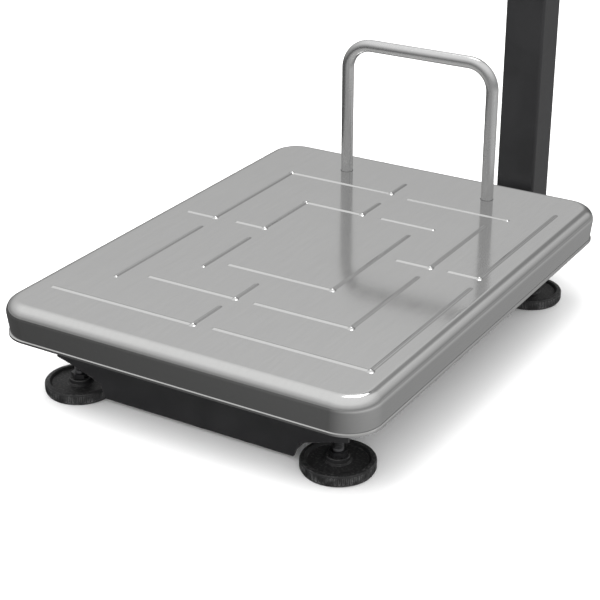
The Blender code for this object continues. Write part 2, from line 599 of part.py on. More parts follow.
def column_head(parent):
    """A cap plugged into the tube, with two ears that carry the tilt pin."""
    half = COLUMN_SIDE / 2
    hinge = (COLUMN_X, COLUMN_Y, COLUMN_TOP + HINGE_HEIGHT)
    cap_low, cap_high = COLUMN_TOP + GAP, COLUMN_TOP + 5 * MM
    cap = box(
        "tilt_bracket", (COLUMN_X - half, COLUMN_Y - half, cap_low),
        (COLUMN_X + half, COLUMN_Y + half, cap_high), PAINT, parent,
    )
    plug_half, plug_length = half - COLUMN_WALL - 2 * GAP, 20 * MM
    plug_outline = rounded_rectangle(plug_half, plug_half, 2 * MM, (COLUMN_X, COLUMN_Y))
    plug = plate("cap_plug", plug_outline, COLUMN_TOP - plug_length, COLUMN_TOP + 1 * MM, "Z",
                 parent=parent, helper=True)
    pieces = [plug]
    ear_radius, ear_inner, ear_outer = 14 * MM, 20 * MM, 24 * MM
    for side in (-1, 1):
        turns = [math.pi * step / 12 for step in range(13)]
        arc = [(COLUMN_Y + ear_radius * math.cos(a), hinge[2] + ear_radius * math.sin(a)) for a in turns]
        ear_foot = cap_high - 1 * MM
        outline = [(COLUMN_Y + ear_radius, ear_foot), *arc, (COLUMN_Y - ear_radius, ear_foot)]
        low, high = sorted((COLUMN_X + side * ear_inner, COLUMN_X + side * ear_outer))
        pieces.append(plate(f"bracket_ear_{side + 2}", outline, low, high, "X", parent=parent, helper=True))
    join(cap, *pieces)
    pin = prism(
        "tilt_pin", BOLT_RADIUS, (COLUMN_X - ear_outer - 1 * MM, *hinge[1:]),
        (COLUMN_X + ear_outer + 12 * MM, *hinge[1:]), "X", sides=BOLT_SIDES, surface=ZINC, parent=parent,
    )
    head = prism("tilt_pin_head", hexagon_radius(BOLT_FLATS), (COLUMN_X - ear_outer - 6 * MM, *hinge[1:]),
                 (COLUMN_X - ear_outer - GAP, *hinge[1:]), "X", sides=6, parent=parent, helper=True)
    join(pin, head)
    pin_hole = prism(
        "tilt_pin_hole", BOLT_RADIUS + GAP, (COLUMN_X - 40 * MM, *hinge[1:]),
        (COLUMN_X + 40 * MM, *hinge[1:]), "X", sides=BOLT_SIDES, parent=parent, helper=True,
    )
    cut(cap, pin_hole)
    knob_empty = empty("tilt_knob_axis", hinge, parent)
    knob_low, knob_high = ear_outer + GAP, ear_outer + 20 * MM
    knob_radius, lobes, lobe_radius, lobe_offset = 13 * MM, 5, 4 * MM, 12 * MM
    knob = prism("tilt_knob", knob_radius, (knob_low, 0, 0), (knob_high, 0, 0), "X", surface=PLASTIC,
                 parent=knob_empty)
    for lobe in range(lobes):
        angle = 2 * math.pi * lobe / lobes
        y, z = lobe_offset * math.cos(angle), lobe_offset * math.sin(angle)
        join(knob, prism(
            f"knob_lobe_{lobe}", lobe_radius, (knob_low + 6 * MM, y, z), (knob_high - 1 * MM, y, z), "X",
            sides=20, parent=knob_empty, helper=True,
        ))
    cut(knob, prism(
        "knob_bore", BOLT_RADIUS + GAP, (knob_low - 5 * MM, 0, 0), (ear_outer + 13 * MM, 0, 0), "X",
        sides=BOLT_SIDES, parent=knob_empty, helper=True,
    ))
    return hinge


# --- indicator ----------------------------------------------------------------------------------------
def indicator(hinge, centre):
    """The display unit, built upright about its tilt axis and leaned back by its parent empty."""
    tilt = empty("indicator_tilt", hinge, centre, rotation=(-TILT_REST, 0, 0))
    half, top = CASE_WIDTH / 2, CASE_BOTTOM + CASE_HEIGHT
    rear = box(
        "indicator_rear_case", (-half, CASE_SPLIT + GAP, CASE_BOTTOM), (half, CASE_BACK, top), PLASTIC, tilt,
    )
    round_case(rear, 1)
    hollow = box("rear_hollow", (CASE_WALL - half, CASE_SPLIT - 5 * MM, CASE_BOTTOM + CASE_WALL),
                 (half - CASE_WALL, CASE_BACK - CASE_WALL, top - CASE_WALL), parent=tilt, helper=True)
    cut(rear, hollow)
    lug_half, lug_radius = 19.6 * MM, 13 * MM
    lug = prism("tilt_lug", lug_radius, (-lug_half, 0, 0), (lug_half, 0, 0), "X", parent=tilt, helper=True)
    neck = box("lug_neck", (-lug_half, CASE_SPLIT + GAP, 0), (lug_half, lug_radius, CASE_BOTTOM + 1 * MM),
               parent=tilt, helper=True)
    lug_hole = prism("lug_hole", BOLT_RADIUS + GAP, (-2 * lug_half, 0, 0), (2 * lug_half, 0, 0), "X",
                     sides=BOLT_SIDES, parent=tilt, helper=True)
    join(rear, neck, lug)
    cut(rear, lug_hole)

    front = box(
        "indicator_front_case", (-half, CASE_FRONT, CASE_BOTTOM), (half, CASE_SPLIT, top), PLASTIC, tilt,
    )
    round_case(front, -1)
    cut(front, box("front_hollow", (CASE_WALL - half, CASE_FRONT + CASE_WALL, CASE_BOTTOM + CASE_WALL),
                   (half - CASE_WALL, CASE_SPLIT + 5 * MM, top - CASE_WALL), parent=tilt, helper=True))
    window_low = (-WINDOW_WIDTH / 2, CASE_FRONT - 5 * MM, WINDOW_Z - WINDOW_HEIGHT / 2)
    window_high = (WINDOW_WIDTH / 2, CASE_FRONT + 2 * CASE_WALL, WINDOW_Z + WINDOW_HEIGHT / 2)
    cut(front, box("window_cutter", window_low, window_high, parent=tilt, helper=True))
    box("display_window", (window_low[0] + GAP, CASE_FRONT + 0.6 * MM, window_low[2] + GAP),
        (window_high[0] - GAP, CASE_FRONT + CASE_WALL, window_high[2] - GAP), CLEAR, tilt)
    box("lcd_module", (window_low[0] - 4 * MM, CASE_FRONT + CASE_WALL + GAP, window_low[2] - 3 * MM),
        (window_high[0] + 4 * MM, CASE_FRONT + 9 * MM, window_high[2] + 3 * MM), LCD, tilt)
    for index, name in enumerate(KEY_NAMES):
        x = (index - (len(KEY_NAMES) - 1) / 2) * KEY_PITCH
        key_axis = empty(f"key_axis_{name}", (x, CASE_FRONT, KEY_Z), tilt)
        half_width, half_height = KEY_WIDTH / 2, KEY_HEIGHT / 2
        cut(front, box(
            f"key_opening_{name}", (x - half_width, CASE_FRONT - 5 * MM, KEY_Z - half_height),
            (x + half_width, CASE_FRONT + 2 * CASE_WALL, KEY_Z + half_height), parent=tilt, helper=True,
        ))
        slack = 2 * GAP
        box(f"key_{name}", (slack - half_width, -1.5 * MM, slack - half_height),
            (half_width - slack, 5.5 * MM, half_height - slack), KEYS, key_axis, bevel=1.0 * MM)
    board_half, board_y, board_inset, board_sheet = 95 * MM, CASE_FRONT + 11 * MM, 8 * MM, 1.6 * MM
    box("circuit_board", (-board_half, board_y, CASE_BOTTOM + board_inset),
        (board_half, board_y + board_sheet, top - board_inset), BOARD, tilt)
    cell_low = (-70 * MM, 2 * MM, CASE_BOTTOM + 30 * MM)
    cell_high = (40 * MM, CASE_BACK - CASE_WALL - 2 * MM, CASE_BOTTOM + 95 * MM)
    box("battery", cell_low, cell_high, BATTERY, tilt, bevel=2 * MM)
    sockets(tilt)


def sockets(tilt):
    """The gland for the signal lead and the round power inlet, side by side under the case."""
    socket_x, socket_y, face = 62 * MM, 12 * MM, CASE_BOTTOM - GAP
    gland_radius, gland_length, gland_bore = 7 * MM, 10 * MM, 3 * MM
    gland = prism(
        "indicator_cable_gland", gland_radius, (-socket_x, socket_y, CASE_BOTTOM - gland_length),
        (-socket_x, socket_y, face), sides=BOLT_SIDES, surface=PLASTIC, parent=tilt,
    )
    cut(gland, prism(
        "gland_bore", gland_bore, (-socket_x, socket_y, CASE_BOTTOM - gland_length - 5 * MM),
        (-socket_x, socket_y, CASE_BOTTOM - 4 * MM), parent=tilt, helper=True,
    ))
    inlet_radius, inlet_length, inlet_bore = 5.5 * MM, 3 * MM, 2.8 * MM
    inlet = prism(
        "power_inlet", inlet_radius, (socket_x, socket_y, CASE_BOTTOM - inlet_length),
        (socket_x, socket_y, face), sides=BOLT_SIDES, surface=ZINC, parent=tilt,
    )
    cut(inlet, prism(
        "inlet_bore", inlet_bore, (socket_x, socket_y, CASE_BOTTOM - inlet_length - 5 * MM),
        (socket_x, socket_y, CASE_BOTTOM - 1 * MM), parent=tilt, helper=True,
    ))


def round_case(shell, facing):
    """Rounds a case half: its four corners along Y, then the edge round its outer face."""
    shape = bmesh.new()
    shape.from_mesh(shell.data)
    corners = [e for e in shape.edges if abs(e.verts[0].co.y - e.verts[1].co.y) > MM]
    bmesh.ops.bevel(shape, geom=corners, offset=CASE_CORNER, segments=4, profile=0.5, affect="EDGES")
    outer = (max if facing > 0 else min)(v.co.y for v in shape.verts)
    rim = [e for e in shape.edges if all(abs(v.co.y - outer) < GAP for v in e.verts)]
    bmesh.ops.bevel(shape, geom=rim, offset=CASE_RIM, segments=2, profile=0.5, affect="EDGES")
    shape.to_mesh(shell.data)
    shape.free()


# --- the whole object ---------------------------------------------------------------------------------
clear_scene()
PARTS = new_collection("animal_scale")
CUTTERS = new_collection("cutters")
STEEL = material("brushed_steel", (0.56, 0.56, 0.56), 0.32, 1.0)
PAINT = material("black_paint", (0.035, 0.035, 0.038), 0.5)
ZINC = material("zinc_plate", (0.62, 0.62, 0.6), 0.35, 1.0)
ALUMINIUM = material("milled_aluminium", (0.78, 0.78, 0.8), 0.4, 1.0)
RUBBER = material("black_rubber", (0.03, 0.03, 0.03), 0.8)
PLASTIC = material("dark_plastic", (0.08, 0.08, 0.085), 0.5)
KEYS = material("grey_keys", (0.45, 0.46, 0.48), 0.6)
CLEAR = material("clear_window", (0.75, 0.8, 0.8), 0.08)
LCD = material("lcd_glass", (0.35, 0.4, 0.33), 0.3)
BOARD = material("circuit_board", (0.03, 0.2, 0.08), 0.5)
BATTERY = material("battery_wrap", (0.1, 0.14, 0.3), 0.5)

scale_centre = empty("scale_centre", (0, PAN_Y, 0))
base = empty("base", (0, 0, 0), scale_centre)
platform = empty("platform", (0, 0, 0), scale_centre)
pan(platform)
upper_frame(platform)
guard_rail(platform)
load_cell(base, platform)
base_frame(base)
for corner_name, (side_x, side_y) in CORNERS.items():
    levelling_foot(corner_name, side_x, side_y, base, scale_centre)
column(base)
indicator(column_head(base), scale_centre)
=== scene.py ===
import json
import math
import bmesh
import bpy
from mathutils import Matrix, Vector

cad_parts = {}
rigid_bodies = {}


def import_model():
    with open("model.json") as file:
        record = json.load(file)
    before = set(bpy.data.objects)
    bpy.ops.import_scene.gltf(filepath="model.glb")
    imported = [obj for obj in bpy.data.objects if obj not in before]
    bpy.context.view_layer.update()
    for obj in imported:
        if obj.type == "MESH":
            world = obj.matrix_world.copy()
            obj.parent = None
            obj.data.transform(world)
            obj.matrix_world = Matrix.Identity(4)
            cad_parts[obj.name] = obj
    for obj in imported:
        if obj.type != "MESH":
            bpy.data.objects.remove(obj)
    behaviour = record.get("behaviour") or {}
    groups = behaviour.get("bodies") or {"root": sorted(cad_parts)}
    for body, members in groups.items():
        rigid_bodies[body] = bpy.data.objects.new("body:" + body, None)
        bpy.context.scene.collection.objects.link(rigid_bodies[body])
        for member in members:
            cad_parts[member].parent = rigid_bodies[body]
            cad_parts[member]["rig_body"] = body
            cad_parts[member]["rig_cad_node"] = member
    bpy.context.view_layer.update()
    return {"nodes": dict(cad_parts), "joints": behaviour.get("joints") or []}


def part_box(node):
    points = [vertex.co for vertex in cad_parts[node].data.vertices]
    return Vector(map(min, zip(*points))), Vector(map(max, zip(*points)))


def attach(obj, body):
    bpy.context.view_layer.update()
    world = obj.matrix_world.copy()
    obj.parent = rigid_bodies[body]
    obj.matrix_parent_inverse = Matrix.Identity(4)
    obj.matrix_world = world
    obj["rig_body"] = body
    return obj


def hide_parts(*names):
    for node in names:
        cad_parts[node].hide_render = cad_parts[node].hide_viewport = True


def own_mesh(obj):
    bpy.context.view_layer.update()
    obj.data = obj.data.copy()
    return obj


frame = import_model()
cadNodes = frame["nodes"]
mm = 0.001
corners = ("front_left", "front_right", "rear_left", "rear_right")
print("loaded", len(cadNodes), "parts of the scale")


# ways of working that every piece shares

def selectOnly(obj):
    bpy.ops.object.select_all(action="DESELECT")
    obj.select_set(True)
    bpy.context.view_layer.objects.active = obj


def settle(obj):      # the object's place goes into its mesh
    selectOnly(obj)
    bpy.ops.object.transform_apply(location=True, rotation=True, scale=True)
    return obj


def edit(obj):
    selectOnly(obj)
    bpy.ops.object.mode_set(mode="EDIT")
    bpy.ops.mesh.select_all(action="DESELECT")


def done():
    bpy.ops.object.mode_set(mode="OBJECT")


def pick(kind, test):      # in edit mode: selects what passes the test
    bpy.ops.mesh.select_mode(type=kind)
    bpy.ops.mesh.select_all(action="DESELECT")
    shape = bmesh.from_edit_mesh(bpy.context.object.data)
    for part in {"VERT": shape.verts, "EDGE": shape.edges, "FACE": shape.faces}[kind]:
        if test(part):
            part.select_set(True)
    shape.select_flush_mode()
    bmesh.update_edit_mesh(bpy.context.object.data)


def modify(obj, kind, **values):      # adds a modifier and applies it
    modifier = obj.modifiers.new(kind.lower(), kind)
    for name, value in values.items():
        setattr(modifier, name, value)
    selectOnly(obj)
    bpy.ops.object.modifier_apply(modifier=modifier.name)
    return obj


def pull(up, right=0):      # in edit mode: extrudes the selected edges
    bpy.ops.mesh.extrude_edges_move(TRANSFORM_OT_translate={"value": (right, 0, up)})


def bevel(size, steps):      # in edit mode: rounds the selected edges
    bpy.ops.mesh.bevel(offset=size, segments=steps, affect="EDGES")


def rounded(obj, test, size, steps):      # rounds the edges that pass the test
    edit(obj)
    pick("EDGE", test)
    bevel(size, steps)
    done()
    return obj


def broken(obj, width, angle=60, steps=2):      # takes the sharpness off edges steeper than the angle
    return modify(obj, "BEVEL", width=width * mm, segments=steps, limit_method="ANGLE",
                  angle_limit=math.radians(angle))


def thickened(obj, wall):      # a skin becomes a sheet, growing inwards
    return modify(obj, "SOLIDIFY", thickness=wall, offset=-1, use_even_offset=True)


def combine(obj, other, operation="UNION", **values):      # the other shape is used up
    modify(obj, "BOOLEAN", operation=operation, object=other, solver="EXACT", **values)
    bpy.data.objects.remove(other)
    return obj


def joined(obj, *others):      # several shells in one piece
    bpy.ops.object.select_all(action="DESELECT")
    for other in (*others, obj):
        other.select_set(True)
    bpy.context.view_layer.objects.active = obj
    bpy.ops.object.join()
    return obj


def weld(obj):      # goes into edit mode and joins the points that lie together
    edit(obj)
    bpy.ops.mesh.select_all(action="SELECT")
    bpy.ops.mesh.remove_doubles(threshold=0.01 * mm)


def outward(obj):      # welds the mesh and turns its faces out
    weld(obj)
    bpy.ops.mesh.normals_make_consistent(inside=False)
    done()
    return obj


def smooth(obj, angle=35, weighted=False):
    selectOnly(obj)
    bpy.ops.object.shade_smooth_by_angle(angle=math.radians(angle))
    if weighted:
        modify(obj, "WEIGHTED_NORMAL", weight=80, keep_sharp=True)
    return obj


def primitive(kind, name, **values):
    bpy.ops.object.select_all(action="DESELECT")
    getattr(bpy.ops.mesh, f"primitive_{kind}_add")(**values)
    obj = settle(bpy.context.object)
    obj.name = name
    return obj


def block(name, low, high, rounding=0.0, segments=3):
    low, high = Vector(low), Vector(high)
    obj = primitive("cube", name, size=1, location=(low + high) / 2, scale=high - low)
    if rounding:
        smooth(rounded(obj, lambda edge: True, rounding, segments), 40, True)
    return obj


def outlineOf(name, points):      # a chain of points drawn one after another, left in edit mode
    obj = primitive("plane", name, size=mm, location=points[0])
    bpy.ops.object.mode_set(mode="EDIT")
    bpy.ops.mesh.select_mode(type="VERT")
    bpy.ops.mesh.select_all(action="SELECT")
    bpy.ops.mesh.merge(type="CENTER")
    for here, there in zip(points, points[1:]):
        step = Vector(there) - Vector(here)
        bpy.ops.mesh.extrude_vertices_move(TRANSFORM_OT_translate={"value": step})
    return obj


axisOf = {"X": Vector((1, 0, 0)), "Y": Vector((0, 1, 0)), "Z": Vector((0, 0, 1))}
outOf = {"X": Vector((0, 1, 0)), "Y": Vector((1, 0, 0)), "Z": Vector((1, 0, 0))}


def turned(name, place, profile, axis="Z", steps=48, angle=35):
    # the profile is (radius, distance along the axis) in millimetres, counted from the place
    place = Vector(place)
    along, out = axisOf[axis], outOf[axis]
    points = [place + out * (radius * mm) + along * (far * mm) for radius, far in profile]
    obj = outlineOf(name, points)
    bpy.ops.mesh.select_all(action="SELECT")
    bpy.ops.mesh.spin(steps=steps, angle=math.tau, center=place, axis=along)
    done()
    return smooth(outward(obj), angle)


def rod(name, spot, radius, near, far, axis="Z", steps=48):
    return turned(name, spot, [(0, near), (radius, near), (radius, far), (0, far)], axis, steps)


def drill(obj, spot, radius, near, far, axis="Z"):
    return combine(obj, rod("drill", spot, radius, near, far, axis), "DIFFERENCE")


def hexagon(name, place, flats, low, high, axis="Z"):
    # a nut or bolt head: a six-sided bar whose corners are turned back at both ends
    place, along = Vector(place), axisOf[axis]
    radius = flats / math.sqrt(3)
    turn = {"X": (0, math.pi / 2, 0), "Y": (math.pi / 2, 0, 0), "Z": (0, 0, 0)}[axis]
    centre = place + along * ((low + high) / 2 * mm)
    obj = primitive("cylinder", name, vertices=6, radius=radius * mm, depth=(high - low) * mm,
                    location=centre, rotation=turn)
    face, wide = flats / 2 - 0.1, radius + 0.2
    slope = (wide - face) * 0.55
    combine(obj, turned("lathe", place, [
        (0, high + 0.01), (face, high + 0.01), (wide, high - slope), (wide, low + slope), (face, low - 0.01),
        (0, low - 0.01),
    ], axis), "INTERSECT")
    return smooth(obj, 30, True)


def refined(node, width):
    # a copy of a folded or milled part with its sharp edges broken
    obj = copied(cadNodes[node], (0, 0, 0))
    obj.parent = None
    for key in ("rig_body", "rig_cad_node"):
        if key in obj:
            del obj[key]
    obj.name = node + "_finished"
    weld(obj)
    bpy.ops.mesh.dissolve_limited(angle_limit=math.radians(0.6))
    done()
    return smooth(broken(obj, width, 40), 35, True)


def place(obj, body, slot, finish, *replaced):
    obj.data.materials.clear()
    obj.data.materials.append(finishes[finish])
    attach(obj, body)
    if replaced:
        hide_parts(*replaced)
    return obj


def middle(node):
    low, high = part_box(node)
    return (low + high) / 2


def seat(node, boxOf=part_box):      # the middle of a node's underside, and its height in millimetres
    low, high = boxOf(node)
    return Vector(((low.x + high.x) / 2, (low.y + high.y) / 2, low.z)), (high.z - low.z) / mm


def moved(obj, shift):
    obj.data.transform(Matrix.Translation(shift))
    return obj


def copied(obj, shift):      # a copy with its own mesh
    other = obj.copy()
    other.data = obj.data.copy()
    bpy.context.scene.collection.objects.link(other)
    return moved(other, shift)


def repeat(obj, node, keys, body, slot, finish):
    # the piece stands for the first of a set of nodes, and a copy of it for each of the others
    first = middle(node.format(keys[0]))
    for key in reversed(keys):
        made = obj if key == keys[0] else copied(obj, middle(node.format(key)) - first)
        made.name = node.format(key) + "_finished"
        place(made, body.format(key), slot, finish, node.format(key))


def threaded(radius, high, low, pitch, depth):      # profile points of the ridges down a shank
    points = []
    for turn in range(int((high - low) / pitch)):
        crest = high - (turn + 0.5) * pitch
        points += [(radius - depth, crest + 0.42 * pitch), (radius, crest + 0.08 * pitch),
                   (radius, crest - 0.08 * pitch), (radius - depth, crest - 0.42 * pitch)]
    return points


# effects that several finishes share

def newGroup(name, inputs, outputs):
    tree = bpy.data.node_groups.new(name, "ShaderNodeTree")
    for socket, value in inputs.items():
        kind = "NodeSocketFloat" if isinstance(value, float) else "NodeSocketVector"
        tree.interface.new_socket(socket, in_out="INPUT", socket_type=kind).default_value = value
    for socket in outputs:
        tree.interface.new_socket(socket, in_out="OUTPUT", socket_type="NodeSocketFloat")
    return tree, tree.nodes.new("NodeGroupInput").outputs, tree.nodes.new("NodeGroupOutput").inputs


def feed(tree, source, target):      # a link from a socket, or a plain value
    if isinstance(source, bpy.types.NodeSocket):
        tree.links.new(source, target)
    else:
        target.default_value = source


def put(tree, kind, links=None, **values):      # one node, its settings and what feeds it
    node = tree.nodes.new("ShaderNode" + kind)
    for name, value in values.items():
        setattr(node, name, value)
    for socket, source in (links or {}).items():
        feed(tree, source, node.inputs[socket])
    return node.outputs


def remap(tree, source, low, high, toLow, toHigh):
    links = {"Value": source, "From Min": low, "From Max": high, "To Min": toLow, "To Max": toHigh}
    return put(tree, "MapRange", links)["Result"]


def calculate(tree, operation, first, second):
    return put(tree, "Math", {0: first, 1: second}, operation=operation)["Value"]


def stretch(tree, source, factors):
    return put(tree, "VectorMath", {0: source, 1: factors}, operation="MULTIPLY")["Vector"]


def noise(tree, where, scale, detail, **more):
    return put(tree, "TexNoise", {"Vector": where, "Scale": scale, "Detail": detail, **more})[0]


def blendColour(tree, mask, first, second):      # the first colour where the mask is black
    node = tree.nodes.new("ShaderNodeMix")
    node.data_type = "RGBA"
    colours = [socket for socket in node.inputs if socket.type == "RGBA"]
    feed(tree, mask, node.inputs[0])
    for source, target in zip((first, second), colours):
        feed(tree, (*source, 1) if isinstance(source, tuple) else source, target)
    return next(socket for socket in node.outputs if socket.type == "RGBA")


def makeBrushedLines():
    # fine scratches that all run one way; Across is how many there are to the metre along each axis
    inputs = {"Vector": (0, 0, 0), "Across": (1500, 20, 1500)}
    tree, given, result = newGroup("brushedLines", inputs, ("Height", "Shade"))
    stretched = stretch(tree, given["Vector"], given["Across"])
    fine = noise(tree, stretched, 1.0, 3.0)
    bands = noise(tree, stretch(tree, stretched, (0.13, 0.5, 0.13)), 1.0, 2.0)
    both = calculate(tree, "ADD", fine, bands)
    tree.links.new(both, result["Height"])
    tree.links.new(remap(tree, both, 0.7, 1.3, 0.0, 1.0), result["Shade"])
    return tree


def makeEdgeWear():
    # a mask that is white where a sharp edge has been rubbed
    tree, given, result = newGroup("edgeWear", {"Vector": (0, 0, 0), "Amount": 1.0}, ("Mask",))
    softened = put(tree, "Bevel", {"Radius": 1.2 * mm}, samples=6)["Normal"]
    plain = put(tree, "NewGeometry")["Normal"]
    agree = put(tree, "VectorMath", {0: softened, 1: plain}, operation="DOT_PRODUCT")["Value"]
    edge = remap(tree, agree, 0.995, 0.9, 0.0, 1.0)
    patches = remap(tree, noise(tree, given["Vector"], 90.0, 4.0), 0.42, 0.62, 0.0, 1.0)
    worn = calculate(tree, "MULTIPLY", edge, patches)
    tree.links.new(calculate(tree, "MULTIPLY", worn, given["Amount"]), result["Mask"])
    return tree


def makeHandling():
    # slow clouds of finger marks, and dust that settles only on what faces up
    tree, given, result = newGroup("handling", {"Vector": (0, 0, 0), "Spread": 14.0}, ("Smudge", "Dust"))
    clouds = noise(tree, given["Vector"], given["Spread"], 5.0, Roughness=0.6, Distortion=0.6)
    tree.links.new(remap(tree, clouds, 0.35, 0.7, 0.0, 1.0), result["Smudge"])
    facing = put(tree, "SeparateXYZ", {0: put(tree, "TexCoord")["Normal"]})["Z"]
    upward = remap(tree, facing, 0.6, 1.0, 0.0, 1.0)
    settled = remap(tree, noise(tree, given["Vector"], 420.0, 2.0), 0.5, 0.75, 0.0, 1.0)
    tree.links.new(calculate(tree, "MULTIPLY", upward, settled), result["Dust"])
    return tree


def makeMouldedSkin():
    # the fine skin of paint, moulded plastic and rubber; Size is grains to the metre
    tree, given, result = newGroup("mouldedSkin", {"Vector": (0, 0, 0), "Size": 900.0}, ("Height",))
    cells = put(tree, "TexVoronoi", {"Vector": given["Vector"], "Scale": given["Size"]})["Distance"]
    grain = noise(tree, given["Vector"], given["Size"], 3.0)
    tree.links.new(calculate(tree, "ADD", cells, grain), result["Height"])
    return tree


groups = {
    "lines": makeBrushedLines(), "wear": makeEdgeWear(), "handling": makeHandling(),
    "skin": makeMouldedSkin(),
}


def useGroup(tree, name, where, **setting):
    return put(tree, "Group", {"Vector": where, **setting}, node_tree=groups[name])


def newFinish(name, constants=None):
    finish = bpy.data.materials.new(name)
    finish.use_nodes = True
    tree = finish.node_tree
    shader = tree.nodes["Principled BSDF"]
    for socket, value in (constants or {}).items():
        shader.inputs[socket].default_value = value
    return finish, tree, shader.inputs, put(tree, "TexCoord")["Object"]


def bumpInto(tree, into, height, distance):
    raised = put(tree, "Bump", {"Height": height, "Distance": distance})["Normal"]
    tree.links.new(raised, into["Normal"])


def steelFinish(name, across, colour, rough, depth, waves=0.0):
    # brushed stainless: grain, faint clouds where it has been wiped, and a slight waviness of the sheet
    finish, tree, into, where = newFinish(name, {"Metallic": 1.0})
    lines = useGroup(tree, "lines", where, Across=across)
    marks = useGroup(tree, "handling", where, Spread=9.0)
    darker = tuple(part * 0.96 for part in colour)
    grained = blendColour(tree, lines["Shade"], darker, colour)
    clouded = calculate(tree, "MULTIPLY", marks["Smudge"], 0.08)
    tree.links.new(blendColour(tree, clouded, grained, (0.45, 0.45, 0.45)), into["Base Color"])
    mixed = calculate(tree, "ADD", lines["Shade"], marks["Smudge"])
    tree.links.new(remap(tree, mixed, 0.0, 2.0, *rough), into["Roughness"])
    height = lines["Height"]
    if waves:
        slow = calculate(tree, "MULTIPLY", noise(tree, where, 6.0, 1.0), waves)
        height = calculate(tree, "ADD", height, slow)
    bumpInto(tree, into, height, depth)
    return finish


dustColour = (0.3, 0.3, 0.29)


def coatedFinish(name, colour, rough, size, depth, wear=0.0, bare=(0.4, 0.4, 0.4), dust=0.2):
    # paint, plastic or rubber: a fine skin, rubbed edges and a little dust on top
    finish, tree, into, where = newFinish(name)
    skin = useGroup(tree, "skin", where, Size=size)
    marks = useGroup(tree, "handling", where, Spread=22.0)
    lighter = tuple(min(1.0, part * 1.22 + 0.003) for part in colour)
    base = blendColour(tree, marks["Smudge"], colour, lighter)
    if dust:
        base = blendColour(tree, calculate(tree, "MULTIPLY", marks["Dust"], dust), base, dustColour)
    if wear:
        rubbed = useGroup(tree, "wear", where, Amount=wear)["Mask"]
        base = blendColour(tree, rubbed, base, bare)
    tree.links.new(base, into["Base Color"])
    tree.links.new(remap(tree, marks["Smudge"], 0.0, 1.0, rough, rough + 0.1), into["Roughness"])
    bumpInto(tree, into, skin["Height"], depth)
    return finish


def platedFinish(name, colour, rough, across):
    # plated or milled metal with a cloudy sheen
    finish, tree, into, where = newFinish(name, {"Metallic": 1.0})
    lines = useGroup(tree, "lines", where, Across=across)
    marks = useGroup(tree, "handling", where, Spread=60.0)
    darker = tuple(part * 0.78 for part in colour)
    tree.links.new(blendColour(tree, marks["Smudge"], colour, darker), into["Base Color"])
    tree.links.new(remap(tree, lines["Shade"], 0.0, 1.0, rough, rough + 0.14), into["Roughness"])
    bumpInto(tree, into, lines["Height"], 0.000006)
    return finish


def clearFinish(name, tint):
    constants = {"IOR": 1.49, "Transmission Weight": 1.0, "Base Color": (*tint, 1)}
    finish, tree, into, where = newFinish(name, constants)
    marks = useGroup(tree, "handling", where, Spread=45.0)
    tree.links.new(remap(tree, marks["Smudge"], 0.0, 1.0, 0.02, 0.12), into["Roughness"])
    return finish


finishes = {
    "pan": steelFinish("panSteel", (1900, 45, 1900), (0.6, 0.6, 0.595), (0.1, 0.15), 0.000003, 12.0),
    "rail": steelFinish("railSteel", (900, 900, 25), (0.62, 0.62, 0.62), (0.22, 0.3), 0.000005),
    "paint": coatedFinish(
        "blackPowderCoat", (0.011, 0.011, 0.012), 0.42, 750.0, 0.00005, 0.35, (0.2, 0.2, 0.2)),
    # this rubber is greyed along its edges and ribs at full strength, which lightens the feet's whole ribbed
    # rim
    "rubber": coatedFinish(
        "footRubber", (0.008, 0.008, 0.0085), 0.5, 1500.0, 0.00004, 1.0, (0.13, 0.13, 0.13)),
    "plastic": coatedFinish(
        "casePlastic", (0.055, 0.056, 0.06), 0.48, 1900.0, 0.00003, 0.2, (0.13, 0.13, 0.13)),
    "keys": coatedFinish("keyRubber", (0.1, 0.103, 0.11), 0.55, 2400.0, 0.00002, dust=0.1),
    "print": coatedFinish("keyPrint", (0.6, 0.6, 0.6), 0.5, 2400.0, 0.00001, dust=0.1),
    "ink": coatedFinish("segmentInk", (0.012, 0.016, 0.014), 0.3, 2400.0, 0.000005, dust=0.0),
    "lcd": coatedFinish("lcdPanel", (0.19, 0.25, 0.17), 0.28, 2400.0, 0.000005, dust=0.0),
    "board": coatedFinish("solderMask", (0.015, 0.14, 0.05), 0.35, 900.0, 0.00002, dust=0.1),
    "battery": coatedFinish("batteryWrap", (0.04, 0.07, 0.22), 0.3, 500.0, 0.00002, dust=0.1),
    "zinc": platedFinish("zincPlate", (0.66, 0.66, 0.63), 0.26, (260, 260, 260)),
    # a darker copy of the zinc for the feet's studs and lock nuts: painted shade for the dimness under the
    # frame
    "shaded zinc": platedFinish("zincWithPaintedShade", (0.14, 0.14, 0.145), 0.3, (260, 260, 260)),
    "aluminium": platedFinish("milledAluminium", (0.8, 0.8, 0.81), 0.3, (40, 1500, 1500)),
    "window": clearFinish("clearAcrylic", (0.95, 0.97, 0.97)),
    "fluid": coatedFinish("levelFluid", (0.42, 0.6, 0.1), 0.12, 2400.0, 0.000002, dust=0.0),
}
print("made", len(finishes), "finishes")


# the weighing pan: one pressed sheet with a rolled edge, a skirt, a hemmed lip and raised beads

panPlan = {
    "corner": 38 * mm, "cornerSteps": 16, "bend": 14 * mm, "bendSteps": 10, "taper": 2 * mm,
    "sheet": 1.2 * mm, "lipOut": 1.3 * mm, "lipHeight": 1.6 * mm, "edge": 0.35 * mm, "postSlack": 0.5,
    "beadWidth": 6.4, "beadHeight": 1.25, "beadSides": 20, "beadRings": 6, "beadSink": 0.04 * mm,
    "beadRoot": 0.7 * mm, "dotWidth": 10.0, "dotHeight": 2.2,
}
panLow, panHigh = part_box("platform_pan")
panMiddle = (panLow + panHigh) / 2
panWidth = panHigh.x - panLow.x
panTop = panHigh.z

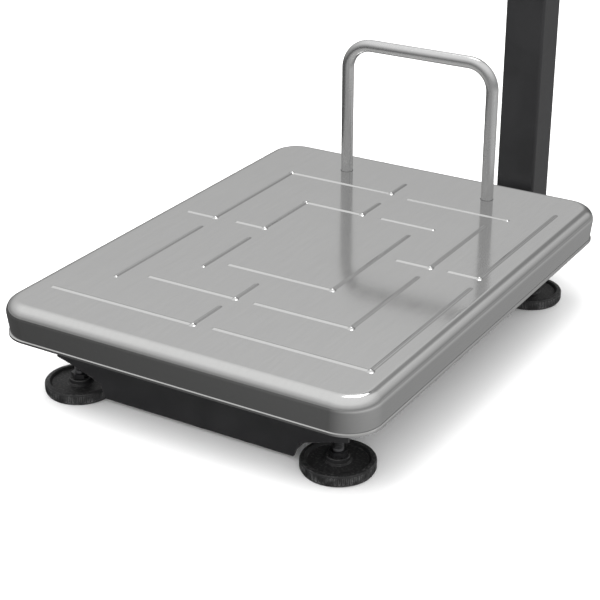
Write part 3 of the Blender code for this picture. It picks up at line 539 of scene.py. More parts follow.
# each bead's points, in pan widths from the middle; a bead has a raised dot where it turns
beadChains = (
    ((-0.427, -0.523), (-0.024, -0.523), (-0.024, -0.412)),
    ((-0.262, -0.357), (-0.017, -0.357), (-0.017, -0.262)),
    ((-0.335, -0.398), (-0.335, -0.030)),
    ((-0.187, -0.240), (-0.187, -0.030)),
    ((0.030, -0.515), (0.432, -0.515), (0.432, -0.021)),
    ((0.038, -0.355), (0.294, -0.355), (0.294, -0.027)),
    ((-0.136, -0.198), (0.155, -0.198), (0.155, 0.192)),
    ((0.345, 0.042), (0.426, 0.042), (0.426, 0.512)),
    ((0.205, 0.038), (0.295, 0.038), (0.295, 0.354)),
    ((0.038, 0.417), (0.330, 0.417)),
    ((0.043, 0.259), (0.192, 0.259)),
    ((-0.422, 0.040), (-0.338, 0.040), (-0.338, 0.430), (-0.022, 0.430), (-0.022, 0.512)),
    ((-0.272, 0.045), (-0.188, 0.045), (-0.188, 0.256), (-0.016, 0.256), (-0.016, 0.350)),
)


def beadBar(start, end, width, height):
    # a round button whose top swells like a wave, pulled out into a bar
    sides, rings, sink, low = (panPlan[name] for name in ("beadSides", "beadRings", "beadSink", "beadRoot"))
    obj = primitive("cylinder", "bead", vertices=sides, radius=width / 2 * mm, depth=low - sink,
                    location=(0, 0, -(low + sink) / 2), rotation=(0, 0, math.pi / sides))
    edit(obj)
    pick("FACE", lambda face: face.normal.z > 0.9)
    tall, was, wave = height * mm + sink, 1.0, 0.0
    for ring in range(1, rings + 1):
        share = 1 - ring / rings if ring < rings else 0.03
        rise = (1 - math.cos(math.pi * ring / rings)) / 2
        bpy.ops.mesh.extrude_region_move(TRANSFORM_OT_translate={"value": (0, 0, (rise - wave) * tall)})
        bpy.ops.transform.resize(value=(share / was, share / was, 1), center_override=(0, 0, 0))
        was, wave = share, rise
    length = math.dist(start, end)
    if length:
        pick("VERT", lambda vertex: vertex.co.x > 0)
        bpy.ops.transform.translate(value=(length, 0, 0))
    done()
    angle = math.atan2(end[1] - start[1], end[0] - start[0])
    obj.matrix_world = Matrix.Translation((start[0], start[1], panTop)) @ Matrix.Rotation(angle, 4, "Z")
    return settle(obj)


def isBottom(edge):
    return all(vertex.co.z < panLow.z + 0.1 * mm for vertex in edge.verts)


def isFoot(edge):      # where a bead rises from the sheet
    flat = [face.normal.z > 0.99999 for face in edge.link_faces]
    level = all(abs(vertex.co.z - panTop) < 0.02 * mm for vertex in edge.verts)
    inside = all(abs(vertex.co.x - panMiddle.x) < panWidth * 0.46 for vertex in edge.verts)
    return level and inside and flat[0] != flat[1]


def makePan():
    plan = panPlan
    tall, deep = panHigh.z - panLow.z, panHigh.y - panLow.y
    obj = block("pressed_pan", panLow, panHigh)
    rounded(obj, lambda edge: abs(edge.verts[0].co.z - edge.verts[1].co.z) > tall / 2, plan["corner"],
            plan["cornerSteps"])
    rounded(obj, lambda edge: all(vertex.co.z > panTop - mm for vertex in edge.verts), plan["bend"],
            plan["bendSteps"])
    edit(obj)
    pick("FACE", lambda face: face.normal.z < -0.9)
    bpy.ops.mesh.delete(type="ONLY_FACE")
    pick("EDGE", isBottom)
    narrow = (1 - 2 * plan["taper"] / panWidth, 1 - 2 * plan["taper"] / deep, 1)
    bpy.ops.transform.resize(value=narrow, center_override=panMiddle)
    # the lip turns out and then down
    lip = plan["lipHeight"]
    bpy.ops.transform.translate(value=(0, 0, 2 * lip))
    pull(-0.4 * lip)
    wide = (1 + 2 * plan["lipOut"] / panWidth, 1 + 2 * plan["lipOut"] / deep, 1)
    bpy.ops.transform.resize(value=wide, center_override=panMiddle)
    pull(-1.6 * lip)
    done()
    rounded(thickened(obj, plan["sheet"]), isBottom, plan["edge"], 2)
    beads = []
    for chain in beadChains:
        spots = [(panMiddle.x + x * panWidth, panMiddle.y + y * panWidth) for x, y in chain]
        for start, end in zip(spots, spots[1:]):
            beads.append(beadBar(start, end, plan["beadWidth"], plan["beadHeight"]))
        for spot in spots[1:-1]:
            beads.append(beadBar(spot, spot, plan["dotWidth"], plan["dotHeight"]))
    combine(obj, joined(*beads), "UNION", use_self=True)
    railLow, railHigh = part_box("guard_rail")
    hole = (railHigh.y - railLow.y) / 2 / mm + plan["postSlack"]
    for side in ("left", "right"):
        nut = middle(f"rail_nut_{side}")
        drill(obj, (nut.x, nut.y, panTop), hole, 5, -5)
    smooth(obj, 28)
    edit(obj)      # the flat sheet stays flat beside the beads
    pick("EDGE", lambda edge: len(edge.link_faces) == 2 and isFoot(edge))
    bpy.ops.mesh.mark_sharp()
    done()
    modify(obj, "WEIGHTED_NORMAL", weight=80, keep_sharp=True)
    place(obj, "platform", "brushed_steel", "pan", "platform_pan")


makePan()
print("pressed the pan")


# the guard rail: one tube bent twice

railPlan = {"bend": 32 * mm, "bendSteps": 20, "sides": 40}


def makeGuardRail():
    low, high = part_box("guard_rail")
    radius = (high.y - low.y) / 2
    leftX, rightX = low.x + radius, high.x - radius
    y, bend, top = (low.y + high.y) / 2, railPlan["bend"], high.z - radius
    obj = primitive("circle", "bent_guard_rail", vertices=railPlan["sides"], radius=radius,
                    location=(leftX, y, low.z))
    edit(obj)
    bpy.ops.mesh.select_mode(type="EDGE")
    bpy.ops.mesh.select_all(action="SELECT")
    quarter = {"steps": railPlan["bendSteps"], "angle": math.pi / 2, "axis": (0, -1, 0)}
    upright = top - bend - low.z
    pull(upright)
    bpy.ops.mesh.spin(center=(leftX + bend, y, top - bend), **quarter)
    pull(0, rightX - leftX - 2 * bend)
    bpy.ops.mesh.spin(center=(rightX - bend, y, top - bend), **quarter)
    pull(-upright)
    done()
    weld(obj)
    bpy.ops.mesh.fill_holes(sides=0)
    bpy.ops.mesh.normals_make_consistent(inside=False)
    done()
    smooth(obj, 40)
    place(obj, "platform", "brushed_steel", "rail", "guard_rail")


makeGuardRail()
print("bent the guard rail")


# levelling feet: a moulded pad with a ribbed rim, a threaded stud with a hexagon, and a lock nut

footPlan = {"ribs": 60, "ribDepth": 0.5, "stud": 6, "pitch": 1.75, "threadDepth": 0.6, "collar": 17}


def makeFootPad():
    spot, tall = seat("foot_pad_front_left")
    low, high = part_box("foot_pad_front_left")
    rim, steps = (high.x - low.x) / 2 / mm, footPlan["ribs"] * 2
    obj = turned("foot_disc", spot, [
        (0, 8), (7, 8), (7, tall - 0.4), (7.4, tall), (11.6, tall), (12, tall - 0.4), (12.6, 11.5), (14, 10),
        (17, 9.6), (29, 9.6), (31.2, 10.2), (32.6, 12.2), (33.8, 13), (rim - 2.4, 13), (rim - 0.9, 12.5),
        (rim - 0.1, 11.2), (rim, 10.6), (rim, 3.6), (rim - 0.3, 2.8), (rim - 1.2, 2.2), (rim - 1.2, 1.2),
        (rim - 1.8, 0.3), (rim - 2.6, 0), (0, 0),
    ], steps=steps)

    def isRib(face):      # every second strip of the upright wall
        off = face.calc_center_median() - spot
        if abs(face.normal.z) > 0.1 or off.xy.length < (rim - 0.4) * mm or off.z < 3.7 * mm:
            return False
        return round(math.atan2(off.y, off.x) / math.tau * steps - 0.5) % 2 == 0

    edit(obj)
    pick("FACE", isRib)
    bpy.ops.mesh.inset(thickness=0.25 * mm, depth=-footPlan["ribDepth"] * mm, use_individual=True)
    done()
    repeat(smooth(obj, 32), "foot_pad_{}", corners, "foot_pad_{}", "black_rubber", "rubber")


def makeStud():
    spot, tall = seat("foot_stud_front_left")
    radius, depth, pitch = footPlan["stud"], footPlan["threadDepth"], footPlan["pitch"]
    obj = turned("stud", spot, [
        (0, tall), (radius - 1.5, tall), (radius - depth, tall - 0.9),
        *threaded(radius, tall - 1, 15.5, pitch, depth),
        (radius - 0.05, 15), (radius - 0.05, 1), (radius - 1, 0), (0, 0),
    ], steps=32)
    joined(obj, hexagon("collar", spot, footPlan["collar"], 8.0, 13.7))
    # the studs take the darker zinc: painted shade for where they sit under the frame
    repeat(obj, "foot_stud_{}", corners, "foot_stud_{}", "zinc_plate", "shaded zinc")


def makeLockNut():
    spot, tall = seat("foot_lock_nut_front_left")
    low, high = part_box("foot_lock_nut_front_left")
    bore = footPlan["stud"] + 0.2
    obj = hexagon("lock_nut", spot, (high.y - low.y) / mm, 0, tall)
    combine(obj, turned("bore", spot, [
        (0, tall + 1), (bore + 1.6, tall + 1), (bore, tall - 0.6), (bore, 0.6), (bore + 1.6, -1), (0, -1),
    ]), "DIFFERENCE")
    # the lock nuts take the darker zinc: painted shade for where they sit under the frame
    repeat(smooth(obj, 30, True), "foot_lock_nut_{}", corners, "base", "zinc_plate", "shaded zinc")


makeFootPad()
makeStud()
makeLockNut()
print("turned the feet")


# fasteners and small turned parts of the frame

boltPlan = {"radius": 4, "pitch": 1.25, "threadDepth": 0.45, "flats": 13, "socket": 6, "knurls": 30}


def makeBuffer():
    spot, tall = seat("pan_buffer_front_left")
    obj = turned("buffer", spot, [
        (0, tall), (12.5, tall), (13.6, tall - 0.4), (14, tall - 1.4), (12.8, tall / 2), (14, 1.4),
        (13.6, 0.4), (12.5, 0), (0, 0),
    ])
    repeat(obj, "pan_buffer_{}", corners, "platform", "black_rubber", "rubber")


def makeRailNut():
    spot, tall = seat("rail_nut_left")
    obj = hexagon("rail_nut", spot, boltPlan["flats"], 0, tall)
    joined(obj, turned("end", spot, [(0, 1), (3.2, 1), (3.2, -0.9), (2.4, -1.7), (0, -1.7)]))
    repeat(obj, "rail_nut_{}", ("left", "right"), "platform", "zinc_plate", "zinc")


def makeStop():
    spot, tall = seat("overload_stop_front_left")
    radius, depth, pitch = boltPlan["radius"], boltPlan["threadDepth"], boltPlan["pitch"]
    obj = turned("stop", spot, [
        (0, tall), (3, tall - 0.05), (5.2, tall - 0.7), (6, tall - 1.8), (6, tall - 4.6), (5.6, tall - 5),
        (radius - depth, tall - 5), *threaded(radius, tall - 5, 7, pitch, depth), (radius - depth, 6),
        (0, 6),
    ])
    joined(obj, hexagon("nut", spot, boltPlan["flats"] - 1, 0, 6.7))
    repeat(obj, "overload_stop_{}", corners, "base", "zinc_plate", "zinc")


def makeCellBolt(end, turnedOver):
    # a socket cap screw, its head down, or turned over with its head up
    node = f"cell_bolt_{end}_{{}}"
    spot, tall = seat(node.format("inner"))
    radius, depth = boltPlan["radius"], boltPlan["threadDepth"]
    profile = [
        (0, tall), (radius - 1, tall), (radius - depth, tall - 0.8),
        *threaded(radius, tall - 0.8, 12, boltPlan["pitch"], depth), (radius, 11.5), (radius, 8), (6.5, 8),
        (6.5, 1), (5.7, 0), (0, 0),
    ]
    socket = (-1, 4)
    if turnedOver:
        profile = [(out, tall - far) for out, far in profile]
        socket = (tall - 4, tall + 1)
    obj = turned("cap_screw", spot, profile, steps=boltPlan["knurls"] * 2)
    combine(obj, hexagon("socket", spot, boltPlan["socket"], *socket), "DIFFERENCE")
    repeat(smooth(obj, 35), node, ("inner", "outer"), "platform" if turnedOver else "base", "zinc_plate",
           "zinc")


def makeColumnBolt():
    # head, nut and two washers on a bolt that runs across the column
    low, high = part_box("column_bolt_lower")
    spot = middle("column_bolt_lower")
    reach, radius, washer = (high.x - low.x) / 2 / mm, boltPlan["radius"], 1.2
    head, nut = reach - 5.2, reach - 6.2
    obj = turned("bolt", spot, [
        (0, -reach - 2.6), (radius - 1.2, -reach - 2.6), (radius - 0.2, -reach - 1.6), (radius, -reach),
        (radius, reach - 1), (0, reach - 1),
    ], "X")
    parts = [hexagon("head", spot, boltPlan["flats"], head + washer, reach, "X")]
    parts.append(hexagon("nut", spot, boltPlan["flats"], -reach, -nut - washer, "X"))
    for near, far in ((head, head + washer), (-nut - washer, -nut)):
        parts.append(turned("washer", spot, [
            (radius, near), (8, near), (8.3, near + 0.3), (8.3, far - 0.3), (8, far), (radius, far),
        ], "X"))
    joined(obj, *parts)
    repeat(obj, "column_bolt_{}", ("lower", "upper"), "base", "zinc_plate", "zinc")


makeBuffer()
makeRailNut()
makeStop()
makeCellBolt("lower", False)
makeCellBolt("upper", True)
makeColumnBolt()
print("made the fasteners")


# folded and welded steelwork: copies of the frame's parts with broken edges

for node, body in (
    ("base_front_channel", "base"), ("base_rear_channel", "base"), ("base_centre_beam", "base"),
    ("column_bracket", "base"), ("tilt_bracket", "base"), ("upper_rail_left", "platform"),
    ("upper_rail_right", "platform"), ("upper_crosshead", "platform"),
):
    place(refined(node, 0.6), body, "black_paint", "paint", node)
for node, body in (("load_cell_spacer_lower", "base"), ("load_cell_spacer_upper", "platform")):
    place(refined(node, 0.4), body, "zinc_plate", "zinc", node)
loadCell = place(refined("load_cell", 0.5), "base", "milled_aluminium", "aluminium", "load_cell")
cellSeat, cellTall = seat("load_cell")
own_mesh(loadCell)
print("folded the frame")


# the column: a drawn square tube

columnPlan = {"corner": 4 * mm, "wall": 2 * mm, "steps": 6, "grommetHole": 8.3, "boltHole": 4.3, "edge": 0.3}


def makeColumn():
    low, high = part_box("column")
    obj = block("square_column", low, high)
    edit(obj)
    pick("FACE", lambda face: abs(face.normal.z) > 0.9)
    bpy.ops.mesh.delete(type="ONLY_FACE")
    done()
    rounded(obj, lambda edge: abs(edge.verts[0].co.z - edge.verts[1].co.z) > mm, columnPlan["corner"],
            columnPlan["steps"])
    thickened(obj, columnPlan["wall"])
    grommet = middle("column_grommet")
    drill(obj, (grommet.x, high.y, grommet.z), columnPlan["grommetHole"], 5, -5, "Y")
    for level in ("lower", "upper"):
        bolt = middle(f"column_bolt_{level}")
        drill(obj, (grommet.x, (low.y + high.y) / 2, bolt.z), columnPlan["boltHole"], 40, -40, "X")
    smooth(broken(obj, columnPlan["edge"], 50), 30, True)
    obj.visible_glossy = False
    place(obj, "base", "black_paint", "paint", "column")


makeColumn()
print("drew the column")


# what the column carries: a grommet, a bull's-eye level and the tilt joint

tiltPlan = {"pin": 4, "flats": 13, "knobRadius": 13, "lobes": 5, "lobeRadius": 4, "lobeOffset": 12}


def makeGrommet():
    low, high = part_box("column_grommet")
    spot = middle("column_grommet")
    spot.y = high.y
    long = (high.y - low.y) / mm
    obj = turned("rubber_grommet", spot, [
        (4.6, 0), (9.6, 0), (10.6, -0.5), (11, -1.4), (10.7, -2.1), (8.1, -2.2), (7.9, -3.6), (7.9, -long),
        (5.2, -long), (4.3, -long + 0.6), (4, -2.4), (4, -0.7), (4.6, 0),
    ], "Y")
    place(obj, "base", "black_rubber", "rubber", "column_grommet")


def makeSpiritLevel():
    # a milled cup, a domed lens over the fluid, and a pale bubble inside a dark ring
    spot, tall = seat("spirit_level_body")
    cup = turned("spirit_level_cup", spot, [
        (0, 4), (10.2, 4), (10.2, tall - 0.6), (10.8, tall), (12.2, tall), (13, tall - 0.8), (13, 3),
        (12.4, 2.6), (12.4, 1.6), (13, 1.2), (13, 0.4), (12.6, 0), (0, 0),
    ], steps=64)
    place(cup, "base", "milled_aluminium", "aluminium", "spirit_level_body")
    spot, tall = seat("spirit_level_lens")
    lens = turned("spirit_level_dome", spot, [
        (0, tall), (3, tall - 0.12), (6, tall - 0.45), (8.6, tall - 1.05), (9.6, tall - 1.5),
        (9.95, tall - 2), (9.95, 3.2), (0, 3.2),
    ])
    place(lens, "base", "clear_window", "window", "spirit_level_lens")
    fluid = turned("spirit_level_fluid", spot, [(0, 2.7), (9.4, 2.7), (9.8, 2.4), (9.8, 0.1), (0, 0.1)])
    place(fluid, "base", "clear_window", "fluid")
    ring = turned("spirit_level_ring", spot, [
        (3.7, 2.72), (4.1, 2.72), (4.1, 2.9), (3.7, 2.9), (3.7, 2.72)])
    place(ring, "base", "black_rubber", "ink")
    bubble = turned("spirit_level_bubble", spot + Vector((0.4, 0.3, 0)) * mm, [
        (0, 3.1), (1.6, 3.05), (2.5, 2.9), (2.9, 2.75), (2.5, 2.6), (0, 2.6),
    ])
    place(bubble, "base", "clear_window", "print")


def makeTiltPin():
    low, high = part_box("tilt_pin")
    spot = middle("tilt_pin")
    spot.x = low.x
    long, radius = (high.x - low.x) / mm, tiltPlan["pin"]
    obj = turned("tilt_shaft", spot, [
        (0, 2), (radius, 2), (radius, long - 1), (radius - 1, long), (0, long),
    ], "X")
    joined(obj, hexagon("head", spot, tiltPlan["flats"], 0, 5.7, "X"))
    place(obj, "base", "zinc_plate", "zinc", "tilt_pin")


def makeTiltKnob():
    low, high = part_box("tilt_knob")
    hinge = middle("tilt_pin")
    spot = Vector((low.x, hinge.y, hinge.z))
    long, radius, bore = (high.x - low.x) / mm, tiltPlan["knobRadius"], tiltPlan["pin"] + 0.3
    obj = turned("lobed_knob", spot, [
        (bore, 0), (8.6, 0), (9, 0.4), (9, 3.4), (10.4, 5), (radius, 6.2), (radius, long - 2.2),
        (radius - 0.8, long - 0.7), (radius - 2.4, long), (7.4, long), (6.8, long - 0.6), (6.4, long - 1.1),
        (0, long - 1.1), (0, 12.5), (bore, 12.5), (bore, 0),
    ], "X", 60)
    size = tiltPlan["lobeRadius"]
    for lobe in range(tiltPlan["lobes"]):
        angle = math.tau * lobe / tiltPlan["lobes"]
        out = Vector((0, math.cos(angle), math.sin(angle))) * (tiltPlan["lobeOffset"] * mm)
        combine(obj, turned("lobe", spot + out, [
            (0, 6), (size - 1.2, 6), (size - 0.3, 6.6), (size, 7.6), (size, long - 3.2),
            (size - 0.5, long - 2), (size - 1.8, long - 1.2), (0, long - 1),
        ], "X", 32))
    place(smooth(obj, 40), "tilt_knob", "dark_plastic", "plastic", "tilt_knob")


makeGrommet()
makeSpiritLevel()
makeTiltPin()
makeTiltKnob()
print("fitted the column")


# the indicator, built upright about its tilt axis and then leaned back into place

indicatorPlan = {
    "corner": 12 * mm, "cornerSteps": 10, "rim": 4 * mm, "rimSteps": 6, "wall": 2.5 * mm, "seam": 0.5 * mm,
    "edge": 0.35, "rearEdge": 0.3, "bezel": 5 * mm, "bezelDepth": 0.5 * mm, "windowCorner": 3 * mm,
    "windowSlack": 0.2 * mm, "lugRadius": 13, "lugHalf": 19.6, "lugHole": 4.3, "screwInset": 15 * mm,
    "screwBoss": 5.2, "screwWell": 3.6, "ribs": 5, "ribPitch": 6 * mm, "ribReach": 60 * mm,
    "ribHalf": 0.9 * mm,
}
displayPlan = {
    "insetX": 7 * mm, "insetZ": 5 * mm, "wellDepth": 0.8 * mm, "panelDepth": 0.3 * mm, "digits": "0.00",
    "digitHeight": 30, "digitWidth": 16, "digitPitch": 25, "stroke": 3.6, "slant": 0.1, "inkDepth": 0.12,
}
keyPlan = {"corner": 2.6 * mm, "slack": 0.5 * mm, "rim": 0.9 * mm, "border": 1.2 * mm, "dish": 0.25 * mm}
tiltJoint = next(joint for joint in frame["joints"] if joint["name"] == "indicator_tilt")
pressAxis = next(joint for joint in frame["joints"] if joint["name"] == "key_press_power")["axis"]
lean = Matrix.Translation(Vector(tiltJoint["pos_m"])) @ Matrix.Rotation(
    math.atan2(pressAxis[2], pressAxis[1]), 4, "X")
upright = lean.inverted()


def uprightBox(node):
    spots = [upright @ vertex.co for vertex in cadNodes[node].data.vertices]
    return [Vector([choose(spot[axis] for spot in spots) for axis in range(3)]) for choose in (min, max)]


def leanBack(obj, body, slot, finish, *replaced):
    obj.data.transform(lean)
    return place(obj, body, slot, finish, *replaced)


caseLow, caseHigh = uprightBox("indicator_front_case")
windowLow, windowHigh = uprightBox("display_window")
keyNames = ("power", "zero", "tare", "hold", "unit")


def runsAcross(edge):      # from front to back
    return abs((edge.verts[0].co - edge.verts[1].co).normalized().y) > 0.99


def acrossCorners(obj, size, steps):
    return rounded(obj, runsAcross, size, steps)


def liesAt(edge, y):
    return all(abs(vertex.co.y - y) < 0.1 * mm for vertex in edge.verts)


def makeShell(name, low, high, facing):
    # one half of the case, open towards the other; facing is -1 for the front and 1 for the rear
    plan = indicatorPlan
    obj = acrossCorners(block(name, low, high), plan["corner"], plan["cornerSteps"])
    outer, inner = (low.y, high.y) if facing < 0 else (high.y, low.y)
    edit(obj)
    pick("FACE", lambda face: face.normal.y * facing < -0.9)
    bpy.ops.mesh.delete(type="ONLY_FACE")
    done()
    rounded(obj, lambda edge: liesAt(edge, outer), plan["rim"], plan["rimSteps"])
    return rounded(thickened(obj, plan["wall"]), lambda edge: liesAt(edge, inner), plan["seam"], 2)


def roundedCutter(low, high, corner):
    return acrossCorners(block("cutter", low, high), corner, 6)


def makeFrontCase():
    plan, deep, face = indicatorPlan, 6 * mm, caseLow.y
    obj = makeShell("indicator_front_shell", caseLow, caseHigh, -1)
    corner = plan["windowCorner"]
    openings = [(windowLow, windowHigh, plan["bezel"], plan["bezelDepth"], corner + plan["bezel"] / 2)]
    openings.append((windowLow, windowHigh, plan["windowSlack"], deep, corner))
    for key in keyNames:
        openings.append((*uprightBox(f"key_{key}"), keyPlan["slack"], deep, keyPlan["corner"]))
    for low, high, spare, depth, corner in openings:
        border = Vector((spare, 0, spare))
        low, high = low - border, high + border
        low.y, high.y = face - deep, face + depth
        combine(obj, roundedCutter(low, high, corner), "DIFFERENCE")
    finished = smooth(broken(obj, plan["edge"]), 30, True)
    leanBack(finished, "indicator", "dark_plastic", "plastic", "indicator_front_case")


def makeRearCase():
    plan = indicatorPlan
    low, high = uprightBox("indicator_rear_case")
    low.z = caseLow.z
    obj = makeShell("indicator_rear_shell", low, high, 1)
    half, lug = plan["lugHalf"], plan["lugRadius"]
    combine(obj, block("neck", (-half * mm, low.y, 0), (half * mm, lug * mm, low.z + 3 * mm)))
    combine(obj, turned("lug", (0, 0, 0), [
        (0, -half), (lug - 0.6, -half), (lug, -half + 0.6), (lug, half - 0.6), (lug - 0.6, half), (0, half),
    ], "X"))
    drill(obj, (0, 0, 0), plan["lugHole"], -30, 30, "X")
    inset = plan["screwInset"]
    spots = [
        Vector((side * (high.x - inset), high.y, up))
        for side in (-1, 1) for up in (low.z + inset, high.z - inset)
    ]
    for spot in spots:
        combine(obj, rod("boss", spot, plan["screwBoss"], -1, -8, "Y"))
        drill(obj, spot, plan["screwWell"], 1, -4, "Y")
    reach, thick = plan["ribReach"], plan["ribHalf"]
    for row in range(plan["ribs"]):      # a rubbing strip of fine ribs across the middle
        z = (low.z + high.z) / 2 + (row - (plan["ribs"] - 1) / 2) * plan["ribPitch"]
        rib = block("rib", (-reach, high.y - 0.8 * mm, z - thick), (reach, high.y, z + thick))
        groove = block("groove", (-reach - 2 * mm, high.y - thick, z + 1.6 * mm),
                       (reach + 2 * mm, high.y + mm, z + 3.6 * mm))
        combine(obj, groove, "DIFFERENCE")
        combine(obj, rib)
    finished = smooth(broken(obj, plan["rearEdge"]), 30, True)
    leanBack(finished, "indicator", "dark_plastic", "plastic", "indicator_rear_case")
    for index, spot in enumerate(spots):
        screw = turned("case_screw", spot, [
            (0, -2.6), (1.6, -2.6), (2.7, -3), (3.1, -3.6), (3.1, -3.95), (1.5, -3.95), (1.5, -7), (0, -7),
        ], "Y")
        for turn in ((3.6, 0.7), (0.7, 3.6)):      # the cross recess
            arm = Vector((turn[0] / 2, 0, turn[1] / 2)) * mm
            top = spot.y - 2.5 * mm
            slot = block("slot", (spot.x - arm.x, top - 1.2 * mm, spot.z - arm.z),
                         (spot.x + arm.x, top + mm, spot.z + arm.z))
            combine(screw, slot, "DIFFERENCE")
        screw.name = f"case_screw_{index + 1}"
        leanBack(smooth(screw, 30), "indicator", "zinc_plate", "zinc")


def makeWindow():
    plan = indicatorPlan
    obj = roundedCutter(windowLow, windowHigh, plan["windowCorner"])
    obj.name = "window_pane"
    finished = smooth(broken(obj, plan["rearEdge"]), 30, True)
    leanBack(finished, "indicator", "clear_window", "window", "display_window")


# the strokes of each figure, from the top round to the right, and g across the middle
lit = {
    "0": "abcdef", "1": "bc", "2": "abged", "3": "abgcd", "4": "fgbc", "5": "afgcd", "6": "afgedc",
    "7": "abc", "8": "abcdefg", "9": "abcdfg",
}


def segmentBar(x, z, flat):      # one stroke: a bar with pointed ends, slanted like the rest
    plan = displayPlan
    stroke, thin = plan["stroke"], plan["inkDepth"] * mm
    long = (plan["digitWidth"] if flat else plan["digitHeight"] / 2) - stroke * 0.35
    size = (long * mm, thin, stroke * mm) if flat else (stroke * mm, thin, long * mm)
    half = Vector(size) / 2
    obj = acrossCorners(block("segment", -half, half), stroke * 0.46 * mm, 1)
    moved(obj, Vector((x, 0, z)) * mm)
    slanted = Matrix.Identity(4)
    slanted[0][2] = plan["slant"]
    obj.data.transform(slanted)
    return obj


def makeDisplay():
    # a glass panel in a dark frame, with a row of seven-segment figures
    plan = displayPlan
    low, high = uprightBox("lcd_module")
    body = block("display_frame", low, high, 0.6 * mm, 2)
    inset = Vector((plan["insetX"], 0, plan["insetZ"]))
    panelLow, panelHigh = windowLow + inset, windowHigh - inset
    middleZ = (panelLow.z + panelHigh.z) / 2
    panelLow.y, panelHigh.y = low.y - mm, low.y + plan["wellDepth"]
    combine(body, block("well", panelLow, panelHigh), "DIFFERENCE")
    leanBack(smooth(body, 30, True), "indicator", "lcd_glass", "plastic", "lcd_module")
    panelLow.y = low.y + plan["panelDepth"]
    panel = block("display_panel", panelLow, panelHigh)
    leanBack(acrossCorners(panel, 0.4 * mm, 2), "indicator", "lcd_glass", "lcd")
    tall, wide, pitch = plan["digitHeight"], plan["digitWidth"], plan["digitPitch"]
    bars = {
        "a": (0, tall / 2, 1), "g": (0, 0, 1), "d": (0, -tall / 2, 1), "b": (wide / 2, tall / 4, 0),
        "c": (wide / 2, -tall / 4, 0), "f": (-wide / 2, tall / 4, 0), "e": (-wide / 2, -tall / 4, 0),
    }
    figures = []
    for column, figure in enumerate(plan["digits"].replace(".", "")):
        for segment in lit[figure]:
            figures.append(moved(segmentBar(*bars[segment]), ((column - 1) * pitch * mm, 0, 0)))
    thin = plan["inkDepth"] / 2
    point = rod("point", (-pitch / 2 * mm, 0, -tall / 2 * mm), plan["stroke"] / 2, -thin, thin, "Y")
    joined(point, *figures)
    point.name = "display_figures"
    moved(point, (0, panelLow.y - 0.1 * mm, middleZ))
    leanBack(point, "indicator", "lcd_glass", "ink")


def markBar(x, z, wide, tall):
    half = Vector((wide, 0.16, tall)) * (mm / 2)
    centre = Vector((x, 0, z)) * mm
    return block("bar", centre - half, centre + half)


def markRing(x, z, outer, inner, tall=1.0):
    obj = turned("ring", (0, 0, 0), [
        (inner, -0.08), (outer, -0.08), (outer, 0.08), (inner, 0.08), (inner, -0.08)], "Y")
    obj.data.transform(Matrix.Translation(Vector((x, 0, z)) * mm) @ Matrix.Diagonal((1, 1, tall, 1)))
    return obj


def markArrow(x, z, size, up):
    obj = primitive("cylinder", "arrow", vertices=3, radius=size * mm, depth=0.16 * mm,
                    rotation=(math.pi / 2, 0, 0))
    if not up:
        obj.data.transform(Matrix.Diagonal((1, 1, -1, 1)))
        outward(obj)
    return moved(obj, Vector((x, 0, z)) * mm)


keyMarks = {
    "power": lambda: [markRing(0, -0.4, 3.6, 2.9), markBar(0, 2.4, 0.8, 3.6)],
    "zero": lambda: [markRing(0, 0, 2.6, 1.8, 1.5)],
    "tare": lambda: [markBar(0, -3.2, 7, 0.8), markBar(0, 1.8, 0.8, 4), markArrow(0, -0.4, 2, False)],
    "hold": lambda: [markBar(-1.6, 0, 1.3, 6.4), markBar(1.6, 0, 1.3, 6.4)],
    "unit": lambda: [markArrow(0, 2.4, 2, True), markArrow(0, -2.4, 2, False)],
}


def makeKeys():
    # domed rubber keys, modelled once, each with a small mark of its own
    plan = keyPlan
    low, high = uprightBox("key_power")
    cap = acrossCorners(block("key", low, high), plan["corner"], 6)
    edit(cap)
    pick("FACE", lambda face: face.normal.y < -0.99)
    bevel(plan["rim"], 4)
    done()
    edit(cap)
    pick("FACE", lambda face: face.normal.y < -0.99 and face.calc_area() > 100 * mm * mm)
    bpy.ops.mesh.inset(thickness=plan["border"], depth=-plan["dish"])
    done()
    smooth(cap, 40, True)
    face = low.y + plan["dish"]
    first = (low + high) / 2
    for key in reversed(keyNames):
        keyLow, keyHigh = uprightBox(f"key_{key}")
        centre = (keyLow + keyHigh) / 2
        made = cap if key == "power" else copied(cap, centre - first)
        made.name = f"key_{key}_cap"
        leanBack(made, f"key_{key}", "grey_keys", "keys", f"key_{key}")
        shapes = keyMarks[key]()
        mark = joined(*shapes) if len(shapes) > 1 else shapes[0]
        mark.name = f"key_{key}_mark"
        moved(mark, (centre.x, face, centre.z))
        leanBack(mark, f"key_{key}", "grey_keys", "print")


# inside and under the case; each chip is its middle (across, up), width and height
insidePlan = {
    "boardCorner": 3 * mm, "holeInset": 6 * mm, "hole": 1.7, "chipTall": 1.6, "batteryRound": 3 * mm,
    "chips": ((-60, 30, 14, 14), (-25, 24, 9, 5), (0, 36, 10, 10), (30, 22, 6, 9), (55, 34, 18, 8)),
    "glandFlats": 12.1, "grooves": 12, "grooveRing": 6.5, "grooveRadius": 0.55,
}


